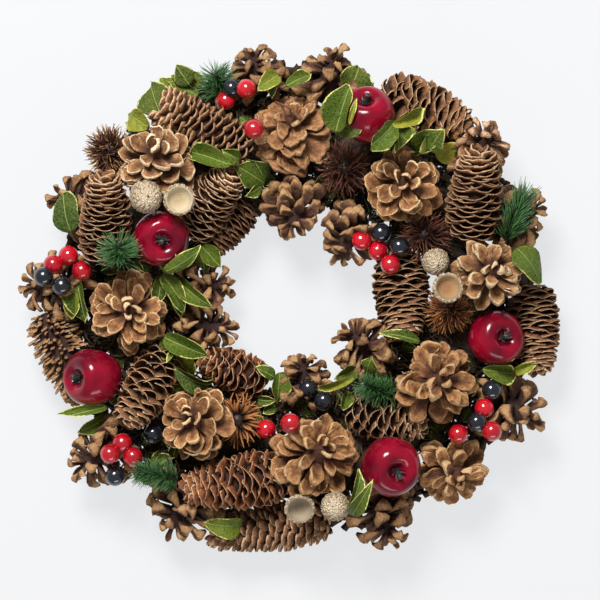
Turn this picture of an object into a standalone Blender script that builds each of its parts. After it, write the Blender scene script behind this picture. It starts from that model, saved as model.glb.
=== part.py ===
"""A Christmas wreath of pine cones, spruce cones, seed heads, lacquered apples, acorn cups, berries and leaves.

It lies on its flat back, decorated face up: +Y is the top of the wreath as it hangs, +X its right.
All sizes below are in millimetres, and the finished objects are in metres.
Numbered pieces run clockwise from the top.
"""

import math
import random

import bpy
from mathutils import Matrix, Quaternion, Vector
from mathutils.bvhtree import BVHTree

MM = 0.001
UP = Vector((0, 0, 1))

# How close two pieces come where one rests on the other, and how far one backs off at a time.
GAP = 0.35
BACK_OFF = 0.4
TOUCHING = 0.8
DROP_FROM = 170
LOWEST_REST = 17
TURNS_TRIED = 6

# The ring of twisted vine that carries everything.
RING_RADIUS = 112
RING_HALF_WIDTH = 20
RING_HEIGHT = 30
RING_SEGMENTS = 24
RING_STRANDS = 5
STRAND_RELIEF = 0.06
RING_SECTION = ((-0.6, 0), (0.6, 0), (1, 0.38), (0.8, 0.82), (0.28, 1), (-0.28, 1), (-0.8, 0.82), (-1, 0.38))

TIE_RADIUS = 1.3
WIRE_RADIUS = 0.9
WIRE_BEND = 50
SHARPEST_TURN = math.radians(100)
BERRY_RADIUS = 6.2
LEAF_THICKNESS = 0.9
# Where each cross section of a leaf stands along it, its half width and how far it arches.
LONG_LEAF = ((0.3, 0.46, 0.1), (0.72, 0.44, 0.08))
SHORT_LEAF = ((0.5, 0.5, 0.1),)
LONG_FROM = 20
NEEDLE_LENGTH = 11
NEEDLE_ROWS = 8
BARE_STEM = 5

COLOURS = {
    "vine": ((0.075, 0.045, 0.028), 0.85, 0.0),
    "pine_scale": ((0.30, 0.165, 0.075), 0.75, 0.0),
    "spruce_scale": ((0.235, 0.135, 0.07), 0.7, 0.0),
    "bristle": ((0.16, 0.07, 0.03), 0.7, 0.0),
    "red_lacquer": ((0.36, 0.006, 0.02), 0.15, 0.0),
    "acorn_cup": ((0.47, 0.37, 0.24), 0.85, 0.0),
    "leaf_green": ((0.09, 0.16, 0.02), 0.5, 0.0),
    "berry_red": ((0.55, 0.005, 0.01), 0.12, 0.0),
}

# Cones: name, centre x and y, azimuth and elevation of the tip, diameter, length,
# and the height of the centre for one that is wired to the side of the ring.
OUTER_PINE_CONES = (
    ("outer_pine_cone_1", 20, 154, 84, 22, 45, 44, 30),
    ("outer_pine_cone_2", 150, 60, 18, 15, 44, 44, 30),
    ("outer_pine_cone_3", 147, -72, -22, 18, 49, 46, 30),
    ("outer_pine_cone_4", 59, -148, -68, 12, 50, 46, 30),
    ("outer_pine_cone_5", -80, -143, -119, 12, 49, 44, 28),
    ("outer_pine_cone_6", -136, -106, -148, 15, 45, 44, 28),
    ("outer_pine_cone_7", -169, 12, 176, 15, 42, 44, 28),
    ("outer_pine_cone_8", -149, 65, 156, 18, 46, 44, 28),
    ("outer_pine_cone_9", -28, 155, 100, 15, 36, 36, 26),
)
INNER_PINE_CONES = (
    ("inner_pine_cone_1", -3, 57, -88, 40, 40, 38, 40),
    ("inner_pine_cone_2", 32, 43, -125, 25, 44, 40, 32),
    ("inner_pine_cone_3", 41, -28, 140, 20, 42, 38, 30),
    ("inner_pine_cone_4", 4, -50, 92, 22, 38, 36, 28),
)
INNER_LEFT_PAIR = (
    ("upper", -56, 9, 4, 14, 37, 38, 28),
    ("lower", -57, -19, -6, 14, 36, 38, 28),
)
FRONT_PINE_CONES = (
    ("front_pine_cone_5", 104, -111, -60, 66, 51, 40),
    ("front_pine_cone_4", 92, -54, 30, 76, 58, 44),
    ("front_pine_cone_3", 127, 18, 40, 76, 50, 38),
    ("front_pine_cone_9", -93, 93, 98, 62, 55, 44),
    ("front_pine_cone_7", -69, -80, 150, 72, 52, 42),
    ("front_pine_cone_2", 70, 76, 90, 84, 54, 42),
    ("front_pine_cone_8", -111, -8, 60, 84, 57, 46),
    ("front_pine_cone_1", -4, 113, -86, -66, 57, 44),
    ("front_pine_cone_6", 14, -101, 40, 66, 60, 46),
)

# Spruce cones lie on their sides. Those with a height are wired beside the ring.
SIDE_SPRUCE_CONES = (
    ("spruce_cone_3", 160, -20, -86, 8, 35, 63, 26),
    ("spruce_cone_6", -20, -151, 188, 0, 36, 86, 20),
    ("spruce_cone_9", -153, -38, -65, 5, 37, 68, 26),
)
TOP_SPRUCE_CONES = (
    ("spruce_cone_10", -41, -46, 160, 14, 31, 50),
    ("spruce_cone_4", 69, 2, -86, 16, 39, 62),
    ("spruce_cone_5", 59, -79, -12, 12, 34, 58),
    ("spruce_cone_1", 84, 125, -21, 4, 39, 66),
    ("spruce_cone_8", -100, -59, 240, 16, 36, 62),
    ("spruce_cone_7", -41, -121, 188, 6, 39, 76),
    ("spruce_cone_11", -127, 54, 88, 22, 36, 66),
    ("spruce_cone_13", -63, 113, 151, 8, 36, 74),
)
INNER_SPRUCE_PAIR = (
    ("under", -47, 47, 232, 4, 33, 46, 30),
    ("over", -56, 63, 52, 26, 36, 58, 48),
)
RIGHT_SPRUCE_PAIR = (
    ("spruce", 117, 70, 86, 22, 38, 68, 48),
    ("pine", 127, 107, 45, 30, 34, 34, 36),
)

# Seed heads: name, centre, diameter, and a height where one hangs beside the ring.
SEED_HEADS = (
    ("seed_head_5", -125, 100, 36, 26),
    ("seed_head_1", 31, 86, 37, None),
    ("seed_head_2", 84, 42, 36, None),
    ("seed_head_3", 100, -7, 34, None),
    ("seed_head_4", -40, -80, 36, None),
)

# Apples: name, centre, azimuth and elevation of the stalk, diameter.
APPLES = (
    ("apple_1", 45, 121, 95, 45, 36),
    ("apple_2", 131, -26, 5, 66, 37),
    ("apple_3", 61, -110, -40, 66, 39),
    ("apple_4", -136, -52, 182, 42, 38),
    ("apple_5", -90, 40, -50, 80, 37),
)

# Pairs of acorn cups: name, then the centre, the way the mouth faces and the diameter of each.
ACORN_CUPS = (
    ("acorn_cups_1", (91, 24, 120, -70, 18), (98, 7, 60, 78, 20)),
    ("acorn_cups_2", (24, -136, 0, -80, 19), (1, -137, -80, 70, 20)),
    ("acorn_cups_3", (-99, 67, 180, -80, 19), (-78, 65, 0, 84, 20)),
)

# Greenery, in the order in which its wire runs. A leaf has root, tip and width; a berry its centre;
# a sprig of needles its root, tip and rise. The last value is the height that nothing goes below.
GREENERY = (
    ("greenery_top_left", 34, (
        ("leaf", -98, 113, -110, 123, 12),
        ("leaf", -93, 124, -100, 144, 14),
        ("leaf", -84, 137, -91, 147, 9),
        ("leaf", -66, 135, -84, 144, 8),
        ("leaf", -72, 142, -80, 155, 11),
        ("leaf", -64, 141, -71, 153, 9),
        ("sprig", -50, 131, -57, 154, 14),
        ("berry", -48, 133),
        ("berry", -44, 141),
        ("berry", -34, 140),
        ("berry", -29, 113),
        ("leaf", -13, 149, -25, 140, 10),
        ("leaf", -8, 141, 7, 148, 8),
    )),
    ("greenery_top_right", 34, (
        ("leaf", 35, 139, 40, 154, 17),
        ("leaf", 24, 108, 33, 137, 15),
        ("leaf", 31, 116, 38, 130, 7),
        ("leaf", 63, 105, 50, 101, 8),
        ("leaf", 63, 116, 48, 102, 12),
        ("leaf", 61, 113, 80, 124, 8),
        ("leaf", 64, 106, 77, 112, 7),
        ("leaf", 74, 101, 92, 113, 12),
        ("leaf", 86, 98, 94, 111, 11),
        ("leaf", 92, 93, 106, 103, 13),
    )),
    ("leaves_inner_top", 34, (
        ("leaf", -43, 88, -70, 97, 11),
        ("leaf", -38, 92, -49, 98, 8),
        ("leaf", -22, 77, -40, 89, 14),
        ("leaf", -24, 75, -34, 70, 7),
    )),
    ("berries_inner_right", 34, (
        ("berry", 42, 40),
        ("berry", 55, 45),
        ("berry", 53, 33),
        ("berry", 67, 36),
        ("berry", 61, 24),
    )),
    ("greenery_right", 30, (
        ("sprig", 144, 42, 156, 73, 10),
        ("leaf", 146, 32, 160, 11, 13),
    )),
    ("greenery_lower_right", 34, (
        ("leaf", 142, -48, 157, -43, 6),
        ("leaf", 122, -46, 142, -50, 10),
        ("berry", 128, -59),
        ("berry", 123, -71),
        ("berry", 118, -80),
        ("berry", 128, -86),
        ("berry", 106, -88),
    )),
    ("greenery_bottom", 34, (
        ("leaf", -15, -52, -27, -45, 8),
        ("leaf", -12, -48, -14, -66, 11),
        ("berry", -21, -85),
        ("berry", -5, -80),
        ("berry", 7, -58),
        ("berry", 17, -66),
        ("leaf", 34, -60, 30, -71, 7),
        ("leaf", 38, -52, 15, -57, 5),
        ("leaf", 40, -46, 26, -51, 8),
        ("leaf", 46, -48, 49, -38, 9),
        ("sprig", 61, -64, 42, -55, 20),
    )),
    ("greenery_lower_left", 32, (
        ("leaf", -125, -71, -154, -77, 6),
        ("leaf", -127, -76, -144, -86, 9),
        ("berry", -96, -88),
        ("berry", -116, -94),
        ("berry", -124, -101),
        ("berry", -109, -103),
        ("berry", -121, -116),
        ("sprig", -79, -119, -108, -112, 10),
    )),
    ("greenery_left", 32, (
        ("sprig", -117, 22, -119, 39, 30),
        ("leaf", -150, 44, -154, 69, 16),
        ("berry", -143, 20),
        ("berry", -152, 30),
        ("berry", -162, 24),
        ("berry", -168, 16),
        ("berry", -156, 10),
        ("leaf", -150, 6, -149, -10, 9),
        ("leaf", -146, 14, -141, -11, 12),
    )),
    ("leaves_inner_left", 34, (
        ("leaf", -65, 36, -53, 24, 10),
        ("leaf", -88, 18, -66, 33, 9),
        ("leaf", -90, 17, -76, -4, 10),
        ("leaf", -81, 15, -59, -2, 10),
        ("leaf", -90, -24, -63, -35, 11),
        ("leaf", -80, -32, -86, -40, 4),
        ("leaf", -76, -31, -69, -47, 9),
        ("leaf", -82, -45, -59, -53, 9),
    )),
)
# Leaves glued straight onto another piece: the piece, then root, tip and width.
GLUED_LEAVES = (
    ("spruce_cone_4", (81, -28, 56, -23, 6)),
    ("spruce_cone_6", (-36, -149, -59, -147, 10)),
    ("acorn_cups_2", (34, -137, 40, -114, 7)),
    ("acorn_cups_2", (35, -142, 47, -120, 8)),
)


def clear_scene():
    for obj in list(bpy.data.objects):
        bpy.data.objects.remove(obj, do_unlink=True)


def turned(profile, segments):
    """A turned shape about Z. The profile runs from the axis at the bottom to the axis at the top."""
    points = [Vector((0, 0, profile[0][1]))]
    for radius, height in profile[1:-1]:
        for i in range(segments):
            angle = math.tau * i / segments
            points.append(Vector((radius * math.cos(angle), radius * math.sin(angle), height)))
    points.append(Vector((0, 0, profile[-1][1])))
    return points, grid_faces(len(profile) - 2, segments, is_flat=True)


def halves(a, b, c, d):
    """A four-cornered face as two triangles."""
    return [(a, b, c), (a, c, d)]


def grid_faces(rings, segments, is_flat=False):
    """Faces of a closed tube of rings: one end point, then the rings in turn, then the other end point."""
    faces = end_faces(rings, segments)
    for ring in range(rings - 1):
        for i in range(segments):
            corners = grid_corners(ring, i, segments)
            faces += [corners] if is_flat else halves(*corners)
    return faces


def grid_corners(ring, i, segments):
    """The corners of one face of such a tube: lower left, lower right, upper right, upper left, seen from outside."""
    a, j = 1 + ring * segments, (i + 1) % segments
    return a + i, a + j, a + segments + j, a + segments + i


def end_faces(rings, segments):
    faces = []
    last = 1 + (rings - 1) * segments
    for i in range(segments):
        j = (i + 1) % segments
        faces += [(0, 1 + j, 1 + i), (last + segments, last + i, last + j)]
    return faces


def moved(shape, matrix):
    points, faces = shape
    return [matrix @ p for p in points], faces


def add_object(name, shape, collection):
    mesh = bpy.data.meshes.new(name)
    mesh.from_pydata([tuple(p) for p in shape[0]], [], shape[1])
    obj = bpy.data.objects.new(name, mesh)
    collection.objects.link(obj)
    return obj


def fused(shapes):
    """One closed skin round all the shapes, by a Boolean union on their collection."""
    helpers = bpy.data.collections.new("helpers")
    bpy.context.scene.collection.children.link(helpers)
    base = add_object("base", shapes[0], bpy.context.scene.collection)
    for shape in shapes[1:]:
        add_object("repeat", shape, helpers)
    union = base.modifiers.new("union", "BOOLEAN")
    union.operation = "UNION"
    union.operand_type = "COLLECTION"
    union.collection = helpers
    union.solver = "EXACT"
    whole = bpy.data.meshes.new_from_object(base.evaluated_get(bpy.context.evaluated_depsgraph_get()))
    whole.calc_loop_triangles()
    points = [v.co.copy() for v in whole.vertices]
    faces = [tuple(f.vertices) for f in whole.loop_triangles]
    for obj in [base, *helpers.objects]:
        bpy.data.objects.remove(obj, do_unlink=True)
    bpy.data.collections.remove(helpers)
    bpy.data.meshes.remove(whole)
    return points, faces


def vine_ring():
    """A flat-backed ring whose section bulges along strands that wind round it."""
    points = []
    count = len(RING_SECTION)
    for i in range(RING_SEGMENTS):
        around = math.tau * i / RING_SEGMENTS
        for j, (across, height) in enumerate(RING_SECTION):
            bulge = 1 + STRAND_RELIEF * math.cos(math.tau * j * 3 / count + RING_STRANDS * around)
            lift = height * (bulge if height > 0 else 1)
            radius = RING_RADIUS + across * RING_HALF_WIDTH * (bulge if height > 0 else 1)
            points.append(Vector((radius * math.cos(around), radius * math.sin(around), lift * RING_HEIGHT)))
    faces = []
    for i in range(RING_SEGMENTS):
        a, b = i * count, (i + 1) % RING_SEGMENTS * count
        for j in range(count):
            k = (j + 1) % count
            faces += halves(a + j, b + j, b + k, a + k)
    return points, faces


def add_scale(points, faces, foot, angle, reach, height, width, thickness, is_round):
    """Draws one face of the core out into a woody scale with a blunt end, broad and rounded or square."""
    a, b, c, d = foot
    outward = Vector((math.cos(angle), math.sin(angle), 0))
    side = UP.cross(outward)
    middle = (points[a] + points[c]) / 2
    tip = outward * reach + UP * height
    along = (tip - middle).normalized()
    half = along.cross(side) * thickness / 2
    corner = tip - along * width * (0.24 if is_round else 0)
    first = len(points)
    for offset in (-half, half):
        points += [corner - side * width / 2 + offset, corner + side * width / 2 + offset]
    l0, r0, l1, r1 = range(first, first + 4)
    faces += halves(b, c, r1, r0) + halves(d, a, l0, l1)
    if not is_round:
        faces += halves(a, b, r0, l0) + halves(c, d, l1, r1) + halves(l0, r0, r1, l1)
        return
    points += [tip - half, tip + half]
    m0, m1 = first + 4, first + 5
    faces += [(m0, l0, a), (m0, a, b), (m0, b, r0), (m1, r1, c), (m1, c, d), (m1, d, l1)]
    faces += halves(l0, m0, m1, l1) + halves(m0, r0, r1, m1)


def pine_cone(diameter, length, around, broad, seed):
    """An open pine cone along Z: every other face of a slim core is drawn out into a scale, tip at the top."""
    rng = random.Random(seed)
    radius = diameter / 2
    columns, whorls = 2 * around, 3
    core = [(0, -0.44)] + [(0.3 - 0.2 * i / whorls, -0.38 + 0.62 * i / whorls) for i in range(whorls + 1)] + [(0, 0.3)]
    points, _ = turned([(r * radius, z * length) for r, z in core], columns)
    faces = end_faces(whorls + 1, columns)
    for whorl in range(whorls):
        for i in range(columns):
            corners = grid_corners(whorl, i, columns)
            if (i + whorl) % 2:
                faces += halves(*corners)
                continue
            t = (whorl + rng.uniform(0.1, 0.6)) / whorls
            reach = radius * (0.9 + 0.7 * t - 1.2 * t * t) * rng.uniform(0.95, 1.04)
            angle = math.tau * (i + 0.5 + rng.uniform(-0.25, 0.25)) / columns
            height = length * (-0.42 + 0.46 * t + 0.46 * t * t)
            width = radius * broad * (1 - 0.4 * t)
            add_scale(points, faces, corners, angle, reach, height, width, radius * 0.12, around > 4)
    return points, faces


def spruce_cone(diameter, length, columns, whorls, seed):
    """A long cone along Z with overlapping scales raised from its surface, tip at the top."""
    rng = random.Random(seed)
    radius = diameter / 2
    pitch = 0.94 / whorls
    points = [Vector((0, 0, -length / 2))]
    for whorl in range(whorls):
        for outer in (0, 1):
            for i in range(columns):
                t = (whorl + 0.1 + 0.62 * outer) * pitch
                is_tip = outer and (i + whorl) % 2 == 0
                envelope = radius * (0.7 + 0.62 * t - 1.02 * t * t) * 1.12
                reach = envelope * ((1.0 if is_tip else 0.8) if outer else 0.76)
                reach *= rng.uniform(0.97, 1.03)
                along = t + (0.2 * pitch if is_tip else 0)
                angle = math.tau * i / columns
                points.append(Vector((reach * math.cos(angle), reach * math.sin(angle), (along - 0.5) * length)))
    points.append(Vector((0, 0, length * 0.5)))
    return points, grid_faces(2 * whorls, columns)


def seed_head(diameter, seed):
    """A round head that bristles all over: each face of a ball is drawn out into a spike."""
    rng = random.Random(seed)
    radius = diameter / 2
    rings, segments = 5, 9
    profile = [(radius * 0.6 * math.sin(math.pi * i / 6), -radius * 0.6 * math.cos(math.pi * i / 6)) for i in range(7)]
    points, _ = turned(profile, segments)
    faces = []
    flats = end_faces(rings, segments)
    flats += [grid_corners(ring, i, segments) for ring in range(rings - 1) for i in range(segments)]
    for flat in flats:
        middle = sum((points[k] for k in flat), Vector()) / len(flat)
        points.append(middle.normalized() * radius * rng.uniform(0.9, 1.06))
        faces += [(a, b, len(points) - 1) for a, b in zip(flat, flat[1:] + flat[:1])]
    return points, faces


def apple(diameter):
    """A lacquered apple with its dimple and stalk on top."""
    profile = [(0, -0.74), (0.42, -0.86), (0.84, -0.56), (1, -0.02), (0.9, 0.48), (0.55, 0.78),
               (0.2, 0.6), (0.1, 0.56), (0.08, 0.98), (0, 1.0)]
    return turned([(r * diameter / 2, z * diameter / 2) for r, z in profile], 10)


def acorn_cup(diameter):
    """A cup whose mouth opens along +Z."""
    profile = [(0, -0.62), (0.62, -0.46), (0.96, 0), (1, 0.36), (0.78, 0.4), (0.66, 0.02), (0, -0.26)]
    return turned([(r * diameter / 2, z * diameter / 2) for r, z in profile], 8)


def berry():
    r = BERRY_RADIUS
    return turned([(0, -r), (0.74 * r, -0.67 * r), (r, 0), (0.74 * r, 0.67 * r), (0, r)], 7)


def tube(stops, radius, sides):
    """A length of wire or stalk through the given points, running a little past both ends."""
    ways = [(b - a).normalized() for a, b in zip(stops, stops[1:])]
    ways = [ways[0]] + [(u + v).normalized() for u, v in zip(ways, ways[1:])] + [ways[-1]]
    ends = [stops[0] - ways[0] * radius / 2] + list(stops[1:-1]) + [stops[-1] + ways[-1] * radius / 2]
    aside = ways[0].orthogonal().normalized()
    points = []
    for stop, way in zip(ends, ways):
        aside = (aside - way * aside.dot(way)).normalized()
        for i in range(sides):
            points.append(stop + Quaternion(way, math.tau * i / sides) @ aside * radius)
    faces = [tuple(reversed(range(sides))), tuple(range(len(points) - sides, len(points)))]
    for start in range(0, len(points) - sides, sides):
        for i in range(sides):
            j = (i + 1) % sides
            corners = (start + i, start + j, start + sides + j, start + sides + i)
            faces += [corners] if len(stops) == 2 else halves(*corners)
    return points, faces


def leaf_blade(root, tip, width):
    """An arched blade, cupped across, with both faces split alike."""
    along = tip - root
    side = along.cross(UP).normalized()
    sections = LONG_LEAF if along.length > LONG_FROM else SHORT_LEAF
    upper = [root]
    for place, half, arch in sections:
        middle = root + along * place + UP * arch * along.length
        rim = UP * 0.08 * width
        upper += [middle - side * width * half + rim, middle, middle + side * width * half + rim]
    upper.append(tip)
    count = len(upper)
    points = upper + [p - UP * LEAF_THICKNESS for p in upper]
    skin = [(0, 1, 2), (0, 2, 3), (count - 1, count - 3, count - 4), (count - 1, count - 2, count - 3)]
    if sections is LONG_LEAF:
        skin += [(1, 4, 5), (1, 5, 2), (2, 5, 6), (2, 6, 3)]
    faces = [tuple(reversed(f)) for f in skin] + [tuple(count + i for i in f) for f in skin]
    outline = [0, *range(1, count - 1, 3), count - 1, *range(count - 2, 1, -3)]
    for a, b in zip(outline, outline[1:] + outline[:1]):
        faces.append((a, b, count + b, count + a))
    return points, faces


def needle_sprig(root, tip, seed):
    """A slim core whose faces are drawn out into needles, all round it and forward along it."""
    rng = random.Random(seed)
    along = tip - root
    axis = along.normalized()
    aside = axis.orthogonal().normalized()
    rows, sides = NEEDLE_ROWS, 4
    points = [root]
    stem = along.length - NEEDLE_LENGTH * 0.4 - BARE_STEM
    for row in range(rows + 1):
        foot = root + axis * (BARE_STEM + stem * row / rows if row else 1)
        for i in range(sides):
            outward = Quaternion(axis, math.tau * (i + row / 2) / sides) @ aside
            points.append(foot + outward * (1.5 - 0.6 * row / rows))
    points.append(tip)
    faces = end_faces(rows + 1, sides)
    for row in range(rows):
        for i in range(sides):
            corners = grid_corners(row, i, sides)
            if row == 0:
                faces += halves(*corners)
                continue
            middle = sum((points[c] for c in corners), Vector()) / 4
            core = root + axis * (middle - root).dot(axis)
            lean = axis * (0.4 + 0.7 * row / rows + rng.uniform(-0.15, 0.15))
            swing = axis.cross(middle - core).normalized() * rng.uniform(-0.3, 0.3)
            way = ((middle - core).normalized() + lean + swing).normalized()
            points.append(core + way * NEEDLE_LENGTH * rng.uniform(0.85, 1.1))
            faces += [(a, b, len(points) - 1) for a, b in zip(corners, corners[1:] + corners[:1])]
    return points, faces


class Placed:
    """A shape where it stands in the wreath, ready to be tested against others."""

    def __init__(self, shape):
        self.points, self.faces = shape
        self.tree = BVHTree.FromPolygons(self.points, self.faces)
        self.low = [min(p[k] for p in self.points) for k in range(3)]
        self.high = [max(p[k] for p in self.points) for k in range(3)]

    def near(self, other, margin=3):
        return all(self.low[k] - margin < other.high[k] and other.low[k] - margin < self.high[k] for k in (0, 1))

    def crosses(self, others):
        return any(self.near(other) and self.tree.overlap(other.tree) for other in others)


def room_below(piece, others, floor):
    """How far a piece can come straight down before it meets another or the given floor."""
    room = piece.low[2] - floor
    for other in others:
        if not piece.near(other):
            continue
        for p in piece.points:
            distance = other.tree.ray_cast(p, -UP, room)[3]
            room = room if distance is None else min(room, distance)
        for p in other.points:
            distance = piece.tree.ray_cast(p, UP, room)[3]
            room = room if distance is None else min(room, distance)
    return room


def settled(shape, others, floor=0):
    """The shape set down on what lies below it, and how far it moved."""
    piece = Placed(shape)
    drop = room_below(piece, others, floor) - GAP
    while True:
        resting = Placed(moved(shape, Matrix.Translation(-UP * drop)))
        if not resting.crosses(others):
            return resting, drop
        drop -= BACK_OFF


def pointing(azimuth, elevation, turn=0.0):
    """The rotation that lays an upright shape along the given direction."""
    a, e = math.radians(azimuth), math.radians(elevation)
    way = Vector((math.cos(e) * math.cos(a), math.cos(e) * math.sin(a), math.sin(e)))
    return (UP.rotation_difference(way) @ Quaternion(UP, turn)).to_matrix().to_4x4()


def dropped(shape, x, y, azimuth, elevation, others, floor):
    """The matrix that sets a shape down at x, y, with the turn about its own axis that nests it lowest."""
    start = Matrix.Translation((x, y, DROP_FROM))
    best = None
    for i in range(TURNS_TRIED):
        matrix = start @ pointing(azimuth, elevation, math.tau * i / TURNS_TRIED)
        room = room_below(Placed(moved(shape, matrix)), others, floor)
        if best is None or room > best[0]:
            best = (room, matrix)
    _, drop = settled(moved(shape, best[1]), others, floor)
    return Matrix.Translation(-UP * drop) @ best[1]


def tied(shape, matrix, others):
    """The shape, with a short tie to the ring or to what stands in its way, unless it already rests on something."""
    placed = Placed(moved(shape, matrix))
    beside = [other for other in others if placed.near(other)]
    if any((other.tree.find_nearest(p, TOUCHING)[3] is not None) for other in beside for p in placed.points):
        return shape
    centre = matrix.translation
    flat = Vector((centre.x, centre.y, 0)).normalized() * RING_RADIUS
    target = flat + UP * RING_HEIGHT / 2
    way = (target - centre).normalized()
    reach = min(hit for hit in (o.tree.ray_cast(centre, way)[3] for o in others) if hit is not None)
    tie = tube([centre, centre + way * (reach - GAP - TIE_RADIUS)], TIE_RADIUS, 4)
    return fused([shape, moved(tie, matrix.inverted())])


def wire_path(start, end, siblings, others):
    """The stops of a wire, bent aside just far enough to clear what lies between, its siblings too if it can."""
    aside = (end - start).cross(UP).normalized()
    for obstacles, bends in ((others + siblings, range(0, WIRE_BEND // 3, 2)), (others, range(0, WIRE_BEND, 2))):
        for bend in bends:
            for way in (aside, -aside, -UP, UP):
                stops = [start, start.lerp(end, 0.5) + way * bend, end] if bend else [start, end]
                if not Placed(tube(stops, WIRE_RADIUS * 1.2, 3)).crosses(obstacles):
                    return stops
    return stops


def wires(stops, shapes, others):
    """One wire through the stops, one in each shape. It breaks off and starts again where it would turn back."""
    placed = [Placed(shape) for shape in shapes]
    runs = []
    for i, (start, end) in enumerate(zip(stops, stops[1:])):
        path = wire_path(start, end, placed[:i] + placed[i + 2:], others)
        if runs and (runs[-1][-1] - runs[-1][-2]).angle(path[1] - path[0]) < SHARPEST_TURN:
            runs[-1] += path[1:]
        else:
            runs.append(path)
    return [tube(run, WIRE_RADIUS * (1 + 0.12 * (i % 2)), 3) for i, run in enumerate(runs)]


def height_under(x, y, others, floor):
    """The top of whatever lies at x, y."""
    start = Vector((x, y, DROP_FROM))
    hits = [o.tree.ray_cast(start, -UP)[0] for o in others]
    return max([floor] + [h.z for h in hits if h is not None])


def draped_leaf(x1, y1, x2, y2, width, others, floor):
    """A leaf tilted to what lies under its two ends and lowered onto it, and the point where its wire meets it."""
    length = math.hypot(x2 - x1, y2 - y1)
    rise = height_under(x2, y2, others, floor) - height_under(x1, y1, others, floor)
    rise = max(-0.7 * length, min(0.7 * length, rise))
    root = Vector((x1, y1, DROP_FROM))
    shape = leaf_blade(root, Vector((x2, y2, DROP_FROM + rise)), width)
    resting, drop = settled(shape, others, floor - 8)
    foot = root - UP * (drop + LEAF_THICKNESS / 2)
    toward = (resting.points[2] - resting.points[0]).normalized()
    return (resting.points, resting.faces), foot + toward * 0.6


def greenery(parts, floor, others, seed):
    """Leaves, berries and sprigs, each laid on what is below it, and the wire that joins them."""
    shapes, stops = [], []
    for i, (kind, *values) in enumerate(parts):
        below = others + [Placed(shape) for shape in shapes]
        if kind == "leaf":
            shape, stop = draped_leaf(*values, below, floor)
        elif kind == "berry":
            x, y = values
            resting, drop = settled(moved(berry(), Matrix.Translation((x, y, DROP_FROM))), below, floor - 8)
            shape, stop = (resting.points, resting.faces), Vector((x, y, DROP_FROM - drop))
        else:
            x1, y1, x2, y2, rise = values
            root, tip = Vector((x1, y1, DROP_FROM)), Vector((x2, y2, DROP_FROM + rise))
            resting, drop = settled(needle_sprig(root, tip, seed + i), below, floor - 8)
            shape, stop = (resting.points, resting.faces), root + (tip - root).normalized() * 2 - UP * drop
        shapes.append(shape)
        stops.append(stop)
    whole = fused(shapes + wires(stops, shapes, others))
    lift = 0
    while Placed(moved(whole, Matrix.Translation(UP * lift))).crosses(others):
        lift += BACK_OFF
    return moved(whole, Matrix.Translation(UP * lift))


def make_material(name):
    colour, roughness, metallic = COLOURS[name]
    material = bpy.data.materials.new(name)
    material.use_nodes = True
    shader = material.node_tree.nodes["Principled BSDF"]
    shader.inputs["Base Color"].default_value = (*colour, 1)
    shader.inputs["Roughness"].default_value = roughness
    shader.inputs["Metallic"].default_value = metallic
    return material


class Wreath:
    """The pieces made so far, each with its shape about its own origin and its place."""

    def __init__(self):
        self.pieces = {}
        self.placed = {}

    def add(self, name, shape, matrix, material):
        self.pieces[name] = (shape, matrix, material)
        self.placed[name] = Placed(moved(shape, matrix))

    def others(self):
        return list(self.placed.values())

    def glue_leaf(self, name, values):
        """Fuses a leaf to a piece, lying on it and clear of the other pieces."""
        shape, matrix, material = self.pieces[name]
        blade, stop = draped_leaf(*values, self.others(), 20)
        host = self.placed[name]
        nearest = host.tree.find_nearest(stop)[0]
        inward = (nearest - stop).normalized() * 1.5
        joint = tube([stop, nearest + inward], WIRE_RADIUS, 3)
        added = [moved(s, matrix.inverted()) for s in (blade, joint)]
        self.add(name, fused([shape, *added]), matrix, material)

    def build(self):
        """Makes the objects, in metres, under one empty that puts the origin under the middle of the wreath."""
        low = [min(p.low[k] for p in self.placed.values()) for k in range(3)]
        high = [max(p.high[k] for p in self.placed.values()) for k in range(3)]
        root = bpy.data.objects.new("wreath", None)
        bpy.context.scene.collection.objects.link(root)
        root.location = Vector((-(low[0] + high[0]) / 2, -(low[1] + high[1]) / 2, -low[2])) * MM
        materials = {name: make_material(name) for name in COLOURS}
        for name, (shape, matrix, material) in self.pieces.items():
            obj = add_object(name, moved(shape, Matrix.Scale(MM, 4)), bpy.context.scene.collection)
            place, turn, _ = matrix.decompose()
            obj.location = place * MM
            obj.rotation_mode = "QUATERNION"
            obj.rotation_quaternion = turn
            obj.parent = root
            obj.data.materials.append(materials[material])


def place_wired(wreath, shape, x, y, azimuth, elevation, height):
    """The matrix of a piece held beside the ring, backed away from the ring until it clears its neighbours."""
    outward = Vector((x, y, 0)).normalized() * (1 if math.hypot(x, y) > RING_RADIUS else -1)
    centre = Vector((x, y, height))
    while True:
        matrix = Matrix.Translation(centre) @ pointing(azimuth, elevation)
        if not Placed(moved(shape, matrix)).crosses(wreath.others()):
            return matrix
        centre += outward * BACK_OFF


def add_wired(wreath, name, shape, x, y, azimuth, elevation, height, material):
    matrix = place_wired(wreath, shape, x, y, azimuth, elevation, height)
    wreath.add(name, tied(shape, matrix, wreath.others()), matrix, material)


def add_pair(wreath, name, pair, shapes, material):
    """Two cones that touch, fused into one piece about the place of the first."""
    place = [Matrix.Translation((x, y, z)) @ pointing(a, e) for _, x, y, a, e, _, _, z in pair]
    link = tube([place[0].translation, place[1].translation], TIE_RADIUS, 4)
    home = Matrix.Translation(place[0].translation)
    parts = [moved(moved(s, m), home.inverted()) for s, m in zip(shapes, place)]
    whole = fused([*parts, moved(link, home.inverted())])
    matrix = dropped_straight(wreath, whole, home)
    wreath.add(name, tied(whole, matrix, wreath.others()), matrix, material)


def dropped_straight(wreath, shape, matrix):
    """The matrix, raised until the shape clears everything placed so far."""
    while Placed(moved(shape, matrix)).crosses(wreath.others()):
        matrix = Matrix.Translation(UP * BACK_OFF) @ matrix
    return matrix


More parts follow.
